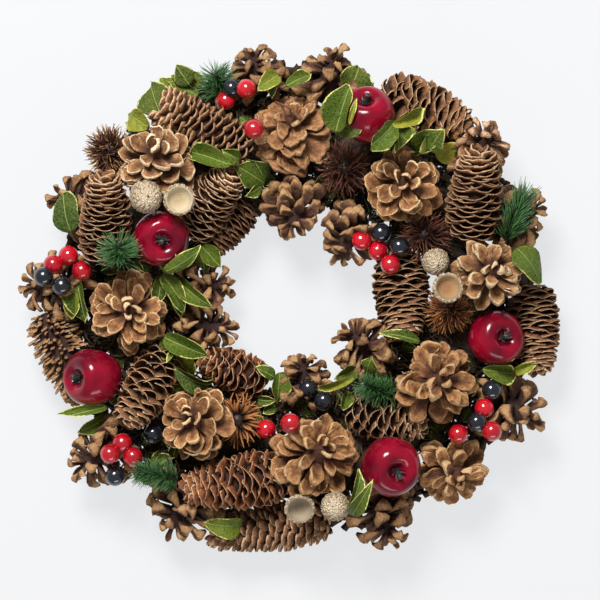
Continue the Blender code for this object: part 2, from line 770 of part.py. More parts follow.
def add_ring_and_sides(wreath):
    wreath.add("vine_ring", vine_ring(), Matrix.Identity(4), "vine")
    for seed, (name, x, y, azimuth, elevation, diameter, length, height) in enumerate(OUTER_PINE_CONES + INNER_PINE_CONES):
        shape = pine_cone(diameter, length, 4, 0.62, seed)
        add_wired(wreath, name, shape, x, y, azimuth, elevation, height, "pine_scale")
    shapes = [pine_cone(d, l, 4, 0.62, seed) for seed, (_, _, _, _, _, d, l, _) in enumerate(INNER_LEFT_PAIR)]
    add_pair(wreath, "inner_pine_cones_5", INNER_LEFT_PAIR, shapes, "pine_scale")
    for seed, (name, x, y, azimuth, elevation, diameter, length, height) in enumerate(SIDE_SPRUCE_CONES):
        shape = spruce_cone(diameter, length, 8, round(length / 10.5), seed)
        add_wired(wreath, name, shape, x, y, azimuth, elevation, height, "spruce_scale")


def add_cones(wreath):
    shapes = [spruce_cone(d, l, 8, 6, seed) for seed, (_, _, _, _, _, d, l, _) in enumerate(INNER_SPRUCE_PAIR)]
    add_pair(wreath, "spruce_cones_12", INNER_SPRUCE_PAIR, shapes, "spruce_scale")
    (_, _, _, _, _, d1, l1, _), (_, _, _, _, _, d2, l2, _) = RIGHT_SPRUCE_PAIR
    shapes = [spruce_cone(d1, l1, 8, 7, 5), pine_cone(d2, l2, 4, 0.62, 40)]
    add_pair(wreath, "spruce_and_pine_cone_2", RIGHT_SPRUCE_PAIR, shapes, "spruce_scale")
    for seed, (name, x, y, azimuth, elevation, diameter, length) in enumerate(TOP_SPRUCE_CONES):
        shape = spruce_cone(diameter, length, 8, round(length / 10.5), seed + 10)
        matrix = dropped(shape, x, y, azimuth, elevation, wreath.others(), LOWEST_REST)
        wreath.add(name, tied(shape, matrix, wreath.others()), matrix, "spruce_scale")


def add_heads_and_rosettes(wreath):
    for seed, (name, x, y, diameter, height) in enumerate(SEED_HEADS):
        shape = seed_head(diameter, seed)
        if height:
            add_wired(wreath, name, shape, x, y, 0, 90, height, "bristle")
        else:
            matrix = dropped(shape, x, y, 0, 90, wreath.others(), LOWEST_REST)
            wreath.add(name, tied(shape, matrix, wreath.others()), matrix, "bristle")
    for seed, (name, x, y, azimuth, elevation, diameter, length) in enumerate(FRONT_PINE_CONES):
        shape = pine_cone(diameter, length, 6, 0.6, seed + 20)
        matrix = dropped(shape, x, y, azimuth, elevation, wreath.others(), LOWEST_REST)
        wreath.add(name, tied(shape, matrix, wreath.others()), matrix, "pine_scale")


def add_fruit(wreath):
    for name, x, y, azimuth, elevation, diameter in APPLES:
        shape = apple(diameter)
        matrix = dropped(shape, x, y, azimuth, elevation, wreath.others(), LOWEST_REST)
        wreath.add(name, tied(shape, matrix, wreath.others()), matrix, "red_lacquer")
    for name, first, second in ACORN_CUPS:
        places = []
        for x, y, azimuth, elevation, diameter in (first, second):
            places.append(dropped(acorn_cup(diameter), x, y, azimuth, elevation, wreath.others(), LOWEST_REST))
        cups = [moved(acorn_cup(v[4]), m) for v, m in zip((first, second), places)]
        floor_of = [m @ Vector((0, 0, -0.42 * v[4] / 2)) for v, m in zip((first, second), places)]
        home = Matrix.Translation(places[0].translation)
        whole = fused([moved(s, home.inverted()) for s in cups + wires(floor_of, cups, wreath.others())])
        wreath.add(name, whole, dropped_straight(wreath, whole, home), "acorn_cup")


def add_leaves(wreath):
    for name, values in GLUED_LEAVES:
        wreath.glue_leaf(name, values)
    for seed, (name, floor, parts) in enumerate(GREENERY):
        shape = greenery(parts, floor, wreath.others(), 50 * seed)
        home = Matrix.Translation(shape[0][0])
        colour = "berry_red" if name.startswith("berries") else "leaf_green"
        wreath.add(name, moved(shape, home.inverted()), home, colour)


def main():
    clear_scene()
    wreath = Wreath()
    add_ring_and_sides(wreath)
    add_cones(wreath)
    add_heads_and_rosettes(wreath)
    add_fruit(wreath)
    add_leaves(wreath)
    wreath.build()


main()
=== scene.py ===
import math

import bpy
import numpy as np
from mathutils import Matrix, Vector


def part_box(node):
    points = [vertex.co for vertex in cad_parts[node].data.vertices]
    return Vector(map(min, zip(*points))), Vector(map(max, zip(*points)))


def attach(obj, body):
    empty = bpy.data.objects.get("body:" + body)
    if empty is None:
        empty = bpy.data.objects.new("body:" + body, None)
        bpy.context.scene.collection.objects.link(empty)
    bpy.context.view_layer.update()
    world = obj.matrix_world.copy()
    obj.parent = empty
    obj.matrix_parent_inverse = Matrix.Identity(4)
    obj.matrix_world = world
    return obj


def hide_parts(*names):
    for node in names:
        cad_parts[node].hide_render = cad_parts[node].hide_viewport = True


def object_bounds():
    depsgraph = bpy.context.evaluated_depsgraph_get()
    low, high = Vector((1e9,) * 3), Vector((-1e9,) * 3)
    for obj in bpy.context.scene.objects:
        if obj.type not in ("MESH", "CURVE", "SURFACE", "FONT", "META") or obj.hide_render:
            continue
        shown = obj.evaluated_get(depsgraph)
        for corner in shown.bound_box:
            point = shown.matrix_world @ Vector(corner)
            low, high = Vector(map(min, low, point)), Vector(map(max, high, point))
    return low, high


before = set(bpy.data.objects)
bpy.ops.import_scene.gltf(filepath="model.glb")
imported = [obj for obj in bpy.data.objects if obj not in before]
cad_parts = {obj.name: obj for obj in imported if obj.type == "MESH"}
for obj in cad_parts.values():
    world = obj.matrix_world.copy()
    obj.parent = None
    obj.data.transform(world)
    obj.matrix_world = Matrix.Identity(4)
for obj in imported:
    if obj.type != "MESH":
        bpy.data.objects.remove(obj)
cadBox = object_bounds()

# Sizes are in millimetres and places are measured from the middle of the wreath. +Y is its top,
# and +Z faces the camera.
mm = 0.001
goldenAngle = math.radians(137.508)
up = Vector((0, 0, 1))

ringBox = np.array(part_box("vine_ring")) / mm
middle = (ringBox[0] + ringBox[1]) / 2
middle[2] = 0
ringRadius = 112

# The first seed of each kind of piece. The number of the piece is added to it.
seeds = {
    "ring": 3, "frontPine": 100, "sidePine": 200, "innerLeft": 230, "spruce": 300, "besideSpruce": 312,
    "innerSpruce": 330, "rightSpruce": 340, "seedHead": 400, "stalk": 450, "acornCup": 500,
    "cluster": 600, "sprig": 650, "gluedLeaves": 700, "undergrowth": 800,
}

# A shape is a dictionary of arrays: points, quads, tris and one value of each kind for each point.
# along runs from root to tip, rim is the distance to the free edge, tone differs from scale to scale,
# inner is 1 on the inner face and 0 on the back, and grain is the place on the flattened scale.
pointValues = {"along": 0.5, "rim": 50.0, "tone": 0.5, "inner": 1.0}


def newShape(points, quads, tris=(), grain=None, **values):
    points = np.asarray(points, float)
    shape = {
        "points": points,
        "quads": np.asarray(quads, int).reshape(-1, 4),
        "tris": np.asarray(tris, int).reshape(-1, 3),
        "grain": points.copy() if grain is None else np.asarray(grain, float),
    }
    for key, usual in pointValues.items():
        shape[key] = np.zeros(len(points)) + values.get(key, usual)
    return shape


def joined(shapes):
    whole = {key: np.concatenate([s[key] for s in shapes]) for key in ("points", "grain", *pointValues)}
    starts = np.cumsum([0] + [len(s["points"]) for s in shapes[:-1]])
    for key in ("quads", "tris"):
        whole[key] = np.concatenate([s[key] + start for s, start in zip(shapes, starts)])
    return whole


def valued(shape, **values):
    # The same shape with one value of each given kind everywhere.
    return {**shape, **{key: np.full(len(shape["points"]), float(value)) for key, value in values.items()}}


def moved(shape, matrix):
    turn = np.array(matrix.to_3x3())
    return {**shape, "points": shape["points"] @ turn.T + np.array(matrix.translation)}


def shifted(shape, offset):
    return {**shape, "points": shape["points"] + np.asarray(offset, float)}


# Where the pieces cover what is under them. Of a head of bristles only the dense heart counts.
covering = []
bristleHeart = 0.68
# Every point stays this far inside the box of the solids.
insideBox = 0.05


def makePiece(name, shape, materials, slot, nodes=(), faceMaterials=None):
    if slot != "vine" and not name.endswith("_needles"):
        flat = shape["points"][:, :2] - middle[:2]
        if slot == "bristle":
            away = np.linalg.norm(flat - flat.mean(0), axis=1)
            flat = flat[away < bristleHeart * away.max()]
        covering.append(flat)
    low, high = np.array(cadBox[0]) / mm, np.array(cadBox[1]) / mm
    points = np.clip(shape["points"], low + insideBox, high - insideBox) * mm
    mesh = bpy.data.meshes.new(name)
    mesh.from_pydata(points.tolist(), [], shape["quads"].tolist() + shape["tris"].tolist())
    for key in pointValues:
        mesh.attributes.new(key, "FLOAT", "POINT").data.foreach_set("value", shape[key].astype(np.float32))
    grain = mesh.attributes.new("grain", "FLOAT_VECTOR", "POINT")
    grain.data.foreach_set("vector", shape["grain"].astype(np.float32).ravel())
    mesh.shade_smooth()
    for material in materials:
        mesh.materials.append(material)
    if faceMaterials is not None:
        mesh.polygons.foreach_set("material_index", faceMaterials)
    piece = bpy.data.objects.new(name, mesh)
    bpy.context.scene.collection.objects.link(piece)
    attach(piece, "root")
    if nodes:
        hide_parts(*nodes)


# Reading the places of the solids that the fine pieces replace.

cadPoints = {}
cornerReach = 0.3


def solidPoints(node):
    if node not in cadPoints:
        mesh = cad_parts[node].data
        points = np.zeros(len(mesh.vertices) * 3)
        mesh.vertices.foreach_get("co", points)
        cadPoints[node] = points.reshape(-1, 3) / mm
    return cadPoints[node]


def distances(points, x, y):
    return np.hypot(points[:, 0] - x - middle[0], points[:, 1] - y - middle[1])


def spot(node, x, y):
    # The highest of the solid's corners that stand nearest to x, y.
    points = solidPoints(node)
    away = distances(points, x, y)
    close = points[away < away.min() + cornerReach]
    return close[close[:, 2].argmax()]


def placeAt(x, y, z, azimuth, elevation):
    # Puts a shape at x, y, z and points its +Z where azimuth and elevation say.
    a, e = math.radians(azimuth), math.radians(elevation)
    way = Vector((math.cos(e) * math.cos(a), math.cos(e) * math.sin(a), math.sin(e)))
    turn = up.rotation_difference(way).to_matrix().to_4x4()
    return Matrix.Translation((x + middle[0], y + middle[1], z)) @ turn


# Small shifts of fine pieces whose scales stand a little beside the middle of their solid.
nudges = {
    "spruce_cone_9": (7, 2, 0), "spruce_cone_6": (0, -2.6, 0), "spruce_cone_3": (0.8, -1, 0),
    "spruce_cones_12": (-2, 1.5, 0), "spruce_cone_10": (-2, -2, 0), "seed_head_5": (-2.5, 0, 0),
    "front_pine_cone_5": (0, -4, 0), "inner_pine_cone_2": (0, -5, 0), "inner_pine_cone_3": (-4, 1, 0),
    "inner_pine_cone_4": (0, 3.5, 0), "inner_pine_cones_5": (-3, 0, 0), "outer_pine_cone_1": (2, 1.5, 0),
    "outer_pine_cone_2": (4, -2, 0), "outer_pine_cone_3": (0, -3, 0), "outer_pine_cone_4": (0, -1.5, 0),
    "outer_pine_cone_5": (-0.5, -2, 0), "outer_pine_cone_6": (-0.5, -1.5, 0),
    "outer_pine_cone_7": (-2, -2.5, 0), "outer_pine_cone_8": (-2, 1, 0), "outer_pine_cone_9": (-1, 2.5, 0),
}


def setOnTop(shape, node):
    # Lifts a shape until its top is level with the top of the solid.
    lift = (0, 0, solidPoints(node)[:, 2].max() - shape["points"][:, 2].max())
    return shifted(shape, np.add(lift, nudges.get(node, (0, 0, 0))))


def stood(shape, node, x, y, height, azimuth, elevation):
    # Where a height is given, the piece is wired beside the ring, and it reaches as far outward or into
    # the hole as its solid does.
    shape = moved(shape, placeAt(x, y, height or 0, azimuth, elevation))
    if not height:
        return setOnTop(shape, node)
    sign = 1 if math.hypot(x, y) > ringRadius else -1
    out = np.array((x, y, 0)) / math.hypot(x, y) * sign
    slide = out * ((solidPoints(node) @ out).max() - (shape["points"] @ out).max())
    return shifted(shape, slide + nudges.get(node, (0, 0, 0)))


# Growing many scales, needles or bristles at once.


def smooth(low, high, value):
    t = np.clip((value - low) / (high - low), 0, 1)
    return t * t * (3 - 2 * t)


def lengths(vectors):
    return np.linalg.norm(vectors, axis=1)[:, None]


def polar(radius, angle, height):
    return np.stack([radius * np.cos(angle), radius * np.sin(angle), height], -1)


def scaleGrid(across, along):
    # A top sheet and a bottom sheet that share their rim.
    u, v = np.meshgrid(across, along)
    rows, columns = u.shape
    within = (rows - 2, columns - 2)
    top = np.arange(rows * columns).reshape(rows, columns)
    bottom = top.copy()
    bottom[1:-1, 1:-1] = np.arange(within[0] * within[1]).reshape(within) + rows * columns
    quads = []
    for sheet, order in ((top, (0, 1, 2, 3)), (bottom, (0, 3, 2, 1))):
        corners = np.stack([sheet[:-1, :-1], sheet[:-1, 1:], sheet[1:, 1:], sheet[1:, :-1]], -1)
        quads.append(corners.reshape(-1, 4)[:, order])
    side = np.pad(np.ones(within), 1)
    return {
        "u": np.concatenate([u.ravel(), u[1:-1, 1:-1].ravel()]),
        "v": np.concatenate([v.ravel(), v[1:-1, 1:-1].ravel()]),
        "side": np.concatenate([side.ravel(), np.full(within[0] * within[1], -1.0)]),
        "quads": np.concatenate(quads),
    }


petalGrid = scaleGrid(
    (-1, -0.93, -0.74, -0.5, -0.25, 0, 0.25, 0.5, 0.74, 0.93, 1),
    (0, 0.2, 0.4, 0.58, 0.72, 0.84, 0.92, 0.975, 1),
)
fingerGrid = scaleGrid((-1, -0.82, -0.45, 0, 0.45, 0.82, 1), (0, 0.25, 0.5, 0.7, 0.85, 0.95, 1))
shellGrid = scaleGrid((-1, -0.93, -0.66, -0.33, 0, 0.33, 0.66, 0.93, 1), (0, 0.3, 0.55, 0.78, 0.93, 1))
leafGrid = scaleGrid(
    (-1, -0.9, -0.6, -0.3, -0.08, 0, 0.08, 0.3, 0.6, 0.9, 1),
    (0, 0.06, 0.14, 0.24, 0.36, 0.48, 0.6, 0.72, 0.82, 0.9, 0.96, 1),
)


def growScales(grid, roots, tips, lifts, form, rng, tone):
    # Each scale runs from its root to its tip, with its inner face towards lift. u runs across it and
    # v along it, and side is 1 on the inner face, -1 on the back and 0 on the rim.
    count = len(roots)
    u, v, side = grid["u"][None], grid["v"][None], grid["side"][None]
    length = lengths(tips - roots)
    way = (tips - roots) / length
    across = np.cross(way, lifts)
    across /= lengths(across)
    normal = np.cross(across, way)

    def each(name, usual=0.0):
        return np.broadcast_to(np.asarray(form.get(name, usual), float), (count,))[:, None]

    half, belly, claw = each("halfWidth"), each("belly", 0.65), each("claw", 0.4)
    back = side < 0
    outline = claw + (1 - claw) * smooth(0, 1, v / belly)
    outline = outline * (1 - each("taper") * smooth(0, 1, (v - belly) / (1 - belly)))
    if "oval" in form:
        outline = np.maximum(0.03, np.sin(math.pi * v ** form["oval"])) ** (0.5 + 0.4 * v)
    phase = rng.uniform(0, 6.28, (count, 1))
    ragged = each("ragged") * (np.sin(5 * u + phase) + 0.7 * np.sin(9 * u + 2 * phase)) * v**3
    rounding = each("round") * (1 - np.sqrt(1 - (0.985 * u) ** 2)) * v * v
    x = half * outline * u * (1 + 0.08 * np.sin(9 * v + phase))
    y = length * v * (1 - rounding + ragged)
    thick = each("thickness") * (1 - each("thinRoot", 0.4) * (1 - v))
    thick = thick * (1 + each("swell") * smooth(0.6, 0.95, v))
    keel = 1 + each("keel") * (1 - np.abs(u)) * back
    keel = keel + each("umbo") * np.exp(-(((v - 0.86) / 0.09) ** 2) - (u / 0.4) ** 2) * back
    z = -4 * each("dish") * length * v * (1 - v) + each("cup") * half * (outline * u) ** 2
    z = z - each("lip") * length * smooth(0.7, 1.05, v) + side * thick * keel / 2
    z = z + each("wave") * half * np.sin(3 * v + 2.5 * u + phase) * np.abs(u) * v
    skew = rng.normal(0, 1, (count, 1)) * each("skew")
    x = x + skew * length * v * v
    z = z + rng.normal(0, 1, (count, 1)) * each("twist") * x * v
    points = roots[:, None]
    for amounts, axis in ((x, across), (y, way), (z, normal)):
        points = points + amounts[..., None] * axis[:, None]
    size = len(grid["u"])
    starts = (np.arange(count) * size)[:, None, None]
    fromEnd = length * (1 - v) * np.ones_like(x)
    fromSide = half * outline * (1 - np.abs(u)) + length * np.clip(0.45 - v, 0, 1)
    grain = np.stack([x, y, np.broadcast_to(tone[:, None] * 90, x.shape)], -1)
    return newShape(
        points.reshape(-1, 3),
        (grid["quads"][None] + starts).reshape(-1, 4),
        grain=grain.reshape(-1, 3),
        along=np.broadcast_to(v, x.shape).ravel(),
        rim=np.minimum(fromEnd, fromSide).ravel(),
        tone=np.repeat(tone, size),
        inner=np.broadcast_to((side + 1) / 2, x.shape).ravel(),
    )


def growSpines(roots, tips, bends, width, flatness, rng, rings=4, sides=4, blunt=0.15):
    # Tapered, slightly bent needles, all in one shape.
    count = len(roots)
    length = lengths(tips - roots)
    way = (tips - roots) / length
    across = np.cross(way, (0.31, 0.2, 0.93))
    across /= lengths(across)
    normal = np.cross(across, way)
    t = np.linspace(0, 1, rings)
    taper = width * (1 - (1 - blunt) * t**1.5)
    angle = np.arange(sides) * math.tau / sides
    bow = bends[:, None] * (4 * t * (1 - t))[None, :, None]
    centre = roots[:, None] + way[:, None] * (length * t)[..., None] + bow
    a = (taper[:, None] * np.cos(angle))[None, ..., None] * across[:, None, None]
    b = (taper[:, None] * np.sin(angle) * flatness)[None, ..., None] * normal[:, None, None]
    points = (centre[:, :, None] + a + b).reshape(count, -1, 3)
    points = np.concatenate([points, tips[:, None] + way[:, None] * 0.2], 1)
    quads, tris = [], []
    last = (rings - 1) * sides
    for i in range(sides):
        j = (i + 1) % sides
        tris.append((last + i, last + j, last + sides))
    for start in range(0, last, sides):
        for i in range(start, start + sides):
            j = start + (i + 1 - start) % sides
            quads.append((i, j, j + sides, i + sides))
    foot = tuple(range(sides))[::-1]
    (quads if sides == 4 else tris).append(foot)
    starts = (np.arange(count) * (rings * sides + 1))[:, None, None]
    along = np.concatenate([np.repeat(t, sides), [1.0]])
    return newShape(
        points.reshape(-1, 3),
        (np.array(quads)[None] + starts).reshape(-1, 4),
        (np.array(tris)[None] + starts).reshape(-1, 3),
        along=np.tile(along, count),
        tone=np.repeat(rng.uniform(0, 1, count), len(along)),
    )


def skinned(rings, start, end, **values):
    # Rings of points as one closed skin that starts and ends in a single point.
    count, sides = rings.shape[:2]
    points = np.concatenate([[start], rings.reshape(-1, 3), [end]])
    here = 1 + np.arange(count * sides).reshape(count, sides)
    beside = np.roll(here, -1, 1)
    quads = np.stack([here[:-1], beside[:-1], beside[1:], here[1:]], -1).reshape(-1, 4)
    first = np.stack([np.zeros(sides, int), beside[0], here[0]], -1)
    last = np.stack([np.full(sides, len(points) - 1), here[-1], beside[-1]], -1)
    along = np.concatenate([[0], np.repeat(np.linspace(0, 1, count), sides), [1]])
    return newShape(points, quads, np.concatenate([first, last]), along=along, **values)


def lathe(profile, sides, smoothSteps=4):
    # Turns a profile of (radius, height) about Z, rounded between its points. Both ends lie on the axis.
    profile = np.array(profile, float)
    if smoothSteps > 1:
        ends = np.concatenate([[2 * profile[0] - profile[1]], profile, [2 * profile[-1] - profile[-2]]])
        fine = []
        for k in range(1, len(ends) - 2):
            p0, p1, p2, p3 = ends[k - 1 : k + 3]
            for t in np.arange(smoothSteps) / smoothSteps:
                square = (2 * p0 - 5 * p1 + 4 * p2 - p3) * t**2
                cube = (3 * p1 - p0 - 3 * p2 + p3) * t**3
                fine.append(0.5 * (2 * p1 + (p2 - p0) * t + square + cube))
        profile = np.array([*fine, profile[-1]])
    angle = np.arange(sides) * math.tau / sides
    radius = np.maximum(profile[1:-1, 0], 0.01)[:, None]
    height = np.broadcast_to(profile[1:-1, 1][:, None], (len(radius), sides))
    return skinned(polar(radius, angle, height), (0, 0, profile[0, 1]), (0, 0, profile[-1, 1]))


def tube(path, radii, sides, tone=0.5):
    # A round bar along a path, with closed ends.
    path = np.asarray(path, float)
    radii = np.broadcast_to(radii, (len(path),))
    ways = np.gradient(path, axis=0)
    ways /= lengths(ways)
    across = np.cross(ways[0], (0.3, 0.5, 0.81))
    rings = []
    angle = np.arange(sides) * math.tau / sides
    for stop, way, radius in zip(path, ways, radii):
        across = across - way * (across @ way)
        across /= np.linalg.norm(across)
        other = np.cross(way, across)
        rings.append(stop + radius * (np.cos(angle)[:, None] * across + np.sin(angle)[:, None] * other))
    run = np.concatenate([[0], np.cumsum(np.linalg.norm(np.diff(path, axis=0), axis=1))])
    grain = polar(radii.max(), np.tile(angle, len(path)), np.repeat(run, sides))
    grain = np.concatenate([[grain[0]], grain, [grain[-1]]])
    return skinned(np.array(rings), path[0], path[-1], tone=tone, grain=grain)


def bendPath(start, end, sag, count=9):
    # A wire that leaves start and curves down into end.
    t = np.linspace(0, 1, count)[:, None]
    path = np.asarray(start, float) * (1 - t) + np.asarray(end, float) * t
    path[:, 2] += sag * 4 * (t[:, 0] * (1 - t[:, 0]))
    return path


# Node trees, with a short call for each kind of node that the materials use.


class Graph:
    def __init__(self, tree, material=None):
        self.tree = tree
        self.material = material

    def feed(self, socket, item):
        # item is a number, a colour or the output of another node.
        if isinstance(item, (int, float)):
            socket.default_value = item
        elif isinstance(item, tuple):
            socket.default_value = (*item, 1)
        else:
            self.tree.links.new(item, socket)

    def add(self, kind, inputs=None, **settings):
        node = self.tree.nodes.new("ShaderNode" + kind)
        for name, value in settings.items():
            setattr(node, name, value)
        for socket, item in (inputs or {}).items():
            self.feed(node.inputs[socket], item)
        return node

    def group(self, tree, **inputs):
        return self.add("Group", inputs, node_tree=tree).outputs

    def read(self, *names):
        # The values of the points, each by its name.
        nodes = [self.add("Attribute", attribute_name=name) for name in names]
        outputs = [node.outputs["Vector" if node.attribute_name == "grain" else "Fac"] for node in nodes]
        return outputs if len(outputs) > 1 else outputs[0]

    def place(self):
        return self.add("TexCoord").outputs["Object"]

    def math(self, operation, *values):
        return self.add("Math", dict(enumerate(values)), operation=operation).outputs[0]

    def times(self, first, *others):
        for other in others:
            first = self.math("MULTIPLY", first, other)
        return first

    def ease(self, value, low, high, newLow=0.0, newHigh=1.0):
        inputs = {"Value": value, "From Min": low, "From Max": high, "To Min": newLow, "To Max": newHigh}
        return self.add("MapRange", inputs, interpolation_type="SMOOTHSTEP").outputs[0]

    def fade(self, value, atZero, atOne):
        return self.ease(value, 0.0, 1.0, atZero, atOne)

    def mix(self, factor, first, second):
        return self.add("Mix", {0: factor, 6: first, 7: second}, data_type="RGBA").outputs[2]

    def noise(self, vector, scale, detail=3.0, roughness=0.55):
        inputs = {"Vector": vector, "Scale": scale, "Detail": detail, "Roughness": roughness}
        return self.add("TexNoise", inputs).outputs["Fac"]

    def finish(self, colour, roughness, bump=None, relief=0.0, **flat):
        # bump is a height that reaches relief millimetres. flat holds plain values of the shader.
        shader = self.tree.nodes["Principled BSDF"].inputs
        self.feed(shader["Base Color"], colour)
        self.feed(shader["Roughness"], roughness)
        for name, value in flat.items():
            self.feed(shader[shaderSockets[name]], value)
        if bump is not None:
            node = self.add("Bump", {"Distance": relief * mm, "Height": bump})
            self.feed(shader["Normal"], node.outputs["Normal"])
        return self.material


shaderSockets = {
    "shine": "Specular IOR Level", "ior": "IOR", "coat": "Coat Weight", "coatRoughness": "Coat Roughness",
    "coatIor": "Coat IOR", "glow": "Emission Color", "glowStrength": "Emission Strength",
}


def newMaterial(name):
    material = bpy.data.materials.new(name)
    material.use_nodes = True
    return Graph(material.node_tree, material)


def newGroup(name, inputs, outputs):
    tree = bpy.data.node_groups.new(name, "ShaderNodeTree")
    for label, usual in inputs.items():
        socket = tree.interface.new_socket(label, in_out="INPUT", socket_type="NodeSocketFloat")
        socket.default_value = usual
    for label in outputs:
        tree.interface.new_socket(label, in_out="OUTPUT", socket_type="NodeSocketFloat")
    given, result = tree.nodes.new("NodeGroupInput"), tree.nodes.new("NodeGroupOutput")
    return Graph(tree), given.outputs, result.inputs


def makeFibreGroup():
    # Streaks that run along a scale, from its root to its tip.
    g, given, result = newGroup("fibreStreaks", {"Fineness": 1.2, "Length": 0.12}, ("Streaks", "Ridges"))
    stretch = g.add("CombineXYZ", {"X": given["Fineness"], "Y": given["Length"], "Z": 1})
    scaled = g.add("VectorMath", {0: g.read("grain"), 1: stretch.outputs[0]}, operation="MULTIPLY")
    coarse = g.noise(scaled.outputs[0], 1.0, 3.0, 0.6)
    fine = g.noise(scaled.outputs[0], 3.1, 2.0, 0.6)
    g.feed(result["Streaks"], g.ease(coarse, 0.38, 0.62))
    g.feed(result["Ridges"], g.math("ADD", coarse, g.times(fine, 0.6)))
    return g.tree


def makeRimGroup():
    # A worn band along the free edge of a scale or leaf, of uneven width.
    g, given, result = newGroup("wornRim", {"Width": 1.0, "Unevenness": 0.5}, ("Rim",))
    grain, fromRim = g.read("grain", "rim")
    uneven = g.times(g.math("SUBTRACT", g.noise(grain, 0.55, 2.0), 0.5), given["Unevenness"])
    width = g.times(given["Width"], g.math("ADD", 1.0, g.times(uneven, 3.0)))
    g.feed(result["Rim"], g.ease(g.math("DIVIDE", fromRim, width), 0.45, 1.0, 1.0, 0.0))
    return g.tree


def makeWeatherGroup():
    # Weathered patches, smaller blotches and specks that drift across a whole piece.
    g, given, result = newGroup("weathering", {"Size": 90.0}, ("Patches", "Blotches", "Specks"))
    place = g.place()
    g.feed(result["Patches"], g.ease(g.noise(place, given["Size"], 3.0, 0.5), 0.35, 0.65))
    g.feed(result["Blotches"], g.ease(g.noise(place, 340, 3.0, 0.6), 0.42, 0.64))
    g.feed(result["Specks"], g.ease(g.noise(place, 900, 2.0, 0.7), 0.5, 0.75))
    return g.tree


fibreStreaks = makeFibreGroup()
wornRim = makeRimGroup()
weathering = makeWeatherGroup()


def scaleMaterial(name, look):
    # Woody scale: streaked face and pale worn rim, with painted shade towards the root and in the hollow of
    # the face, and painted light along the edge.
    g = newMaterial(name)
    streaks = g.group(fibreStreaks, Fineness=0.8, Length=0.09)
    rim = g.group(wornRim, Width=look["rimWidth"], Unevenness=0.8)["Rim"]
    age = g.group(weathering, Size=105.0)
    along, tone, inner, fromRim = g.read("along", "tone", "inner", "rim")
    dark, warm = look["dark"], look["warm"]
    face = g.mix(inner, look["back"], look["face"])
    face = g.mix(g.fade(tone, 0.0, 0.75), face, warm)
    face = g.mix(g.times(streaks["Streaks"], 0.68), face, dark)
    # Painted light: the face turns warmer near its free edge, as if lit there.
    face = g.mix(g.ease(fromRim, 1.0, look["paintedLightTo"], 0.7, 0.0), face, warm)
    # Painted shade: the face darkens away from its edge, in the hollow of the scale.
    face = g.mix(g.ease(fromRim, *look["paintedShadeBand"], 0.0, look["deep"]), face, dark)
    # Painted shade: the face turns to the root colour towards its root, where it lies deep in the cone.
    face = g.mix(g.ease(along, *look["paintedRootShadeBand"]), look["root"], face)
    face = g.mix(g.times(age["Patches"], 0.32), face, dark)
    face = g.mix(g.times(age["Blotches"], 0.55), face, dark)
    if "knob" in look:
        outward = g.times(g.ease(along, 0.76, 0.93), g.fade(inner, 1.0, look["knobInside"]))
        worn = g.fade(streaks["Streaks"], 1.0, 0.5), g.fade(age["Blotches"], 1.0, 0.45)
        face = g.mix(g.times(outward, *worn), face, look["knob"])
    rim = g.times(rim, g.ease(along, 0.45, 0.8), g.fade(tone, look["rimLeast"], 1.0))
    rim = g.times(rim, g.fade(age["Specks"], 1.0, 0.35))
    roughness = g.ease(streaks["Ridges"], 0.4, 1.1, 0.5, 0.85)
    height = g.math("ADD", streaks["Ridges"], g.times(age["Blotches"], -0.5))
    return g.finish(g.mix(rim, face, look["rim"]), roughness, height, look["relief"], shine=0.22)
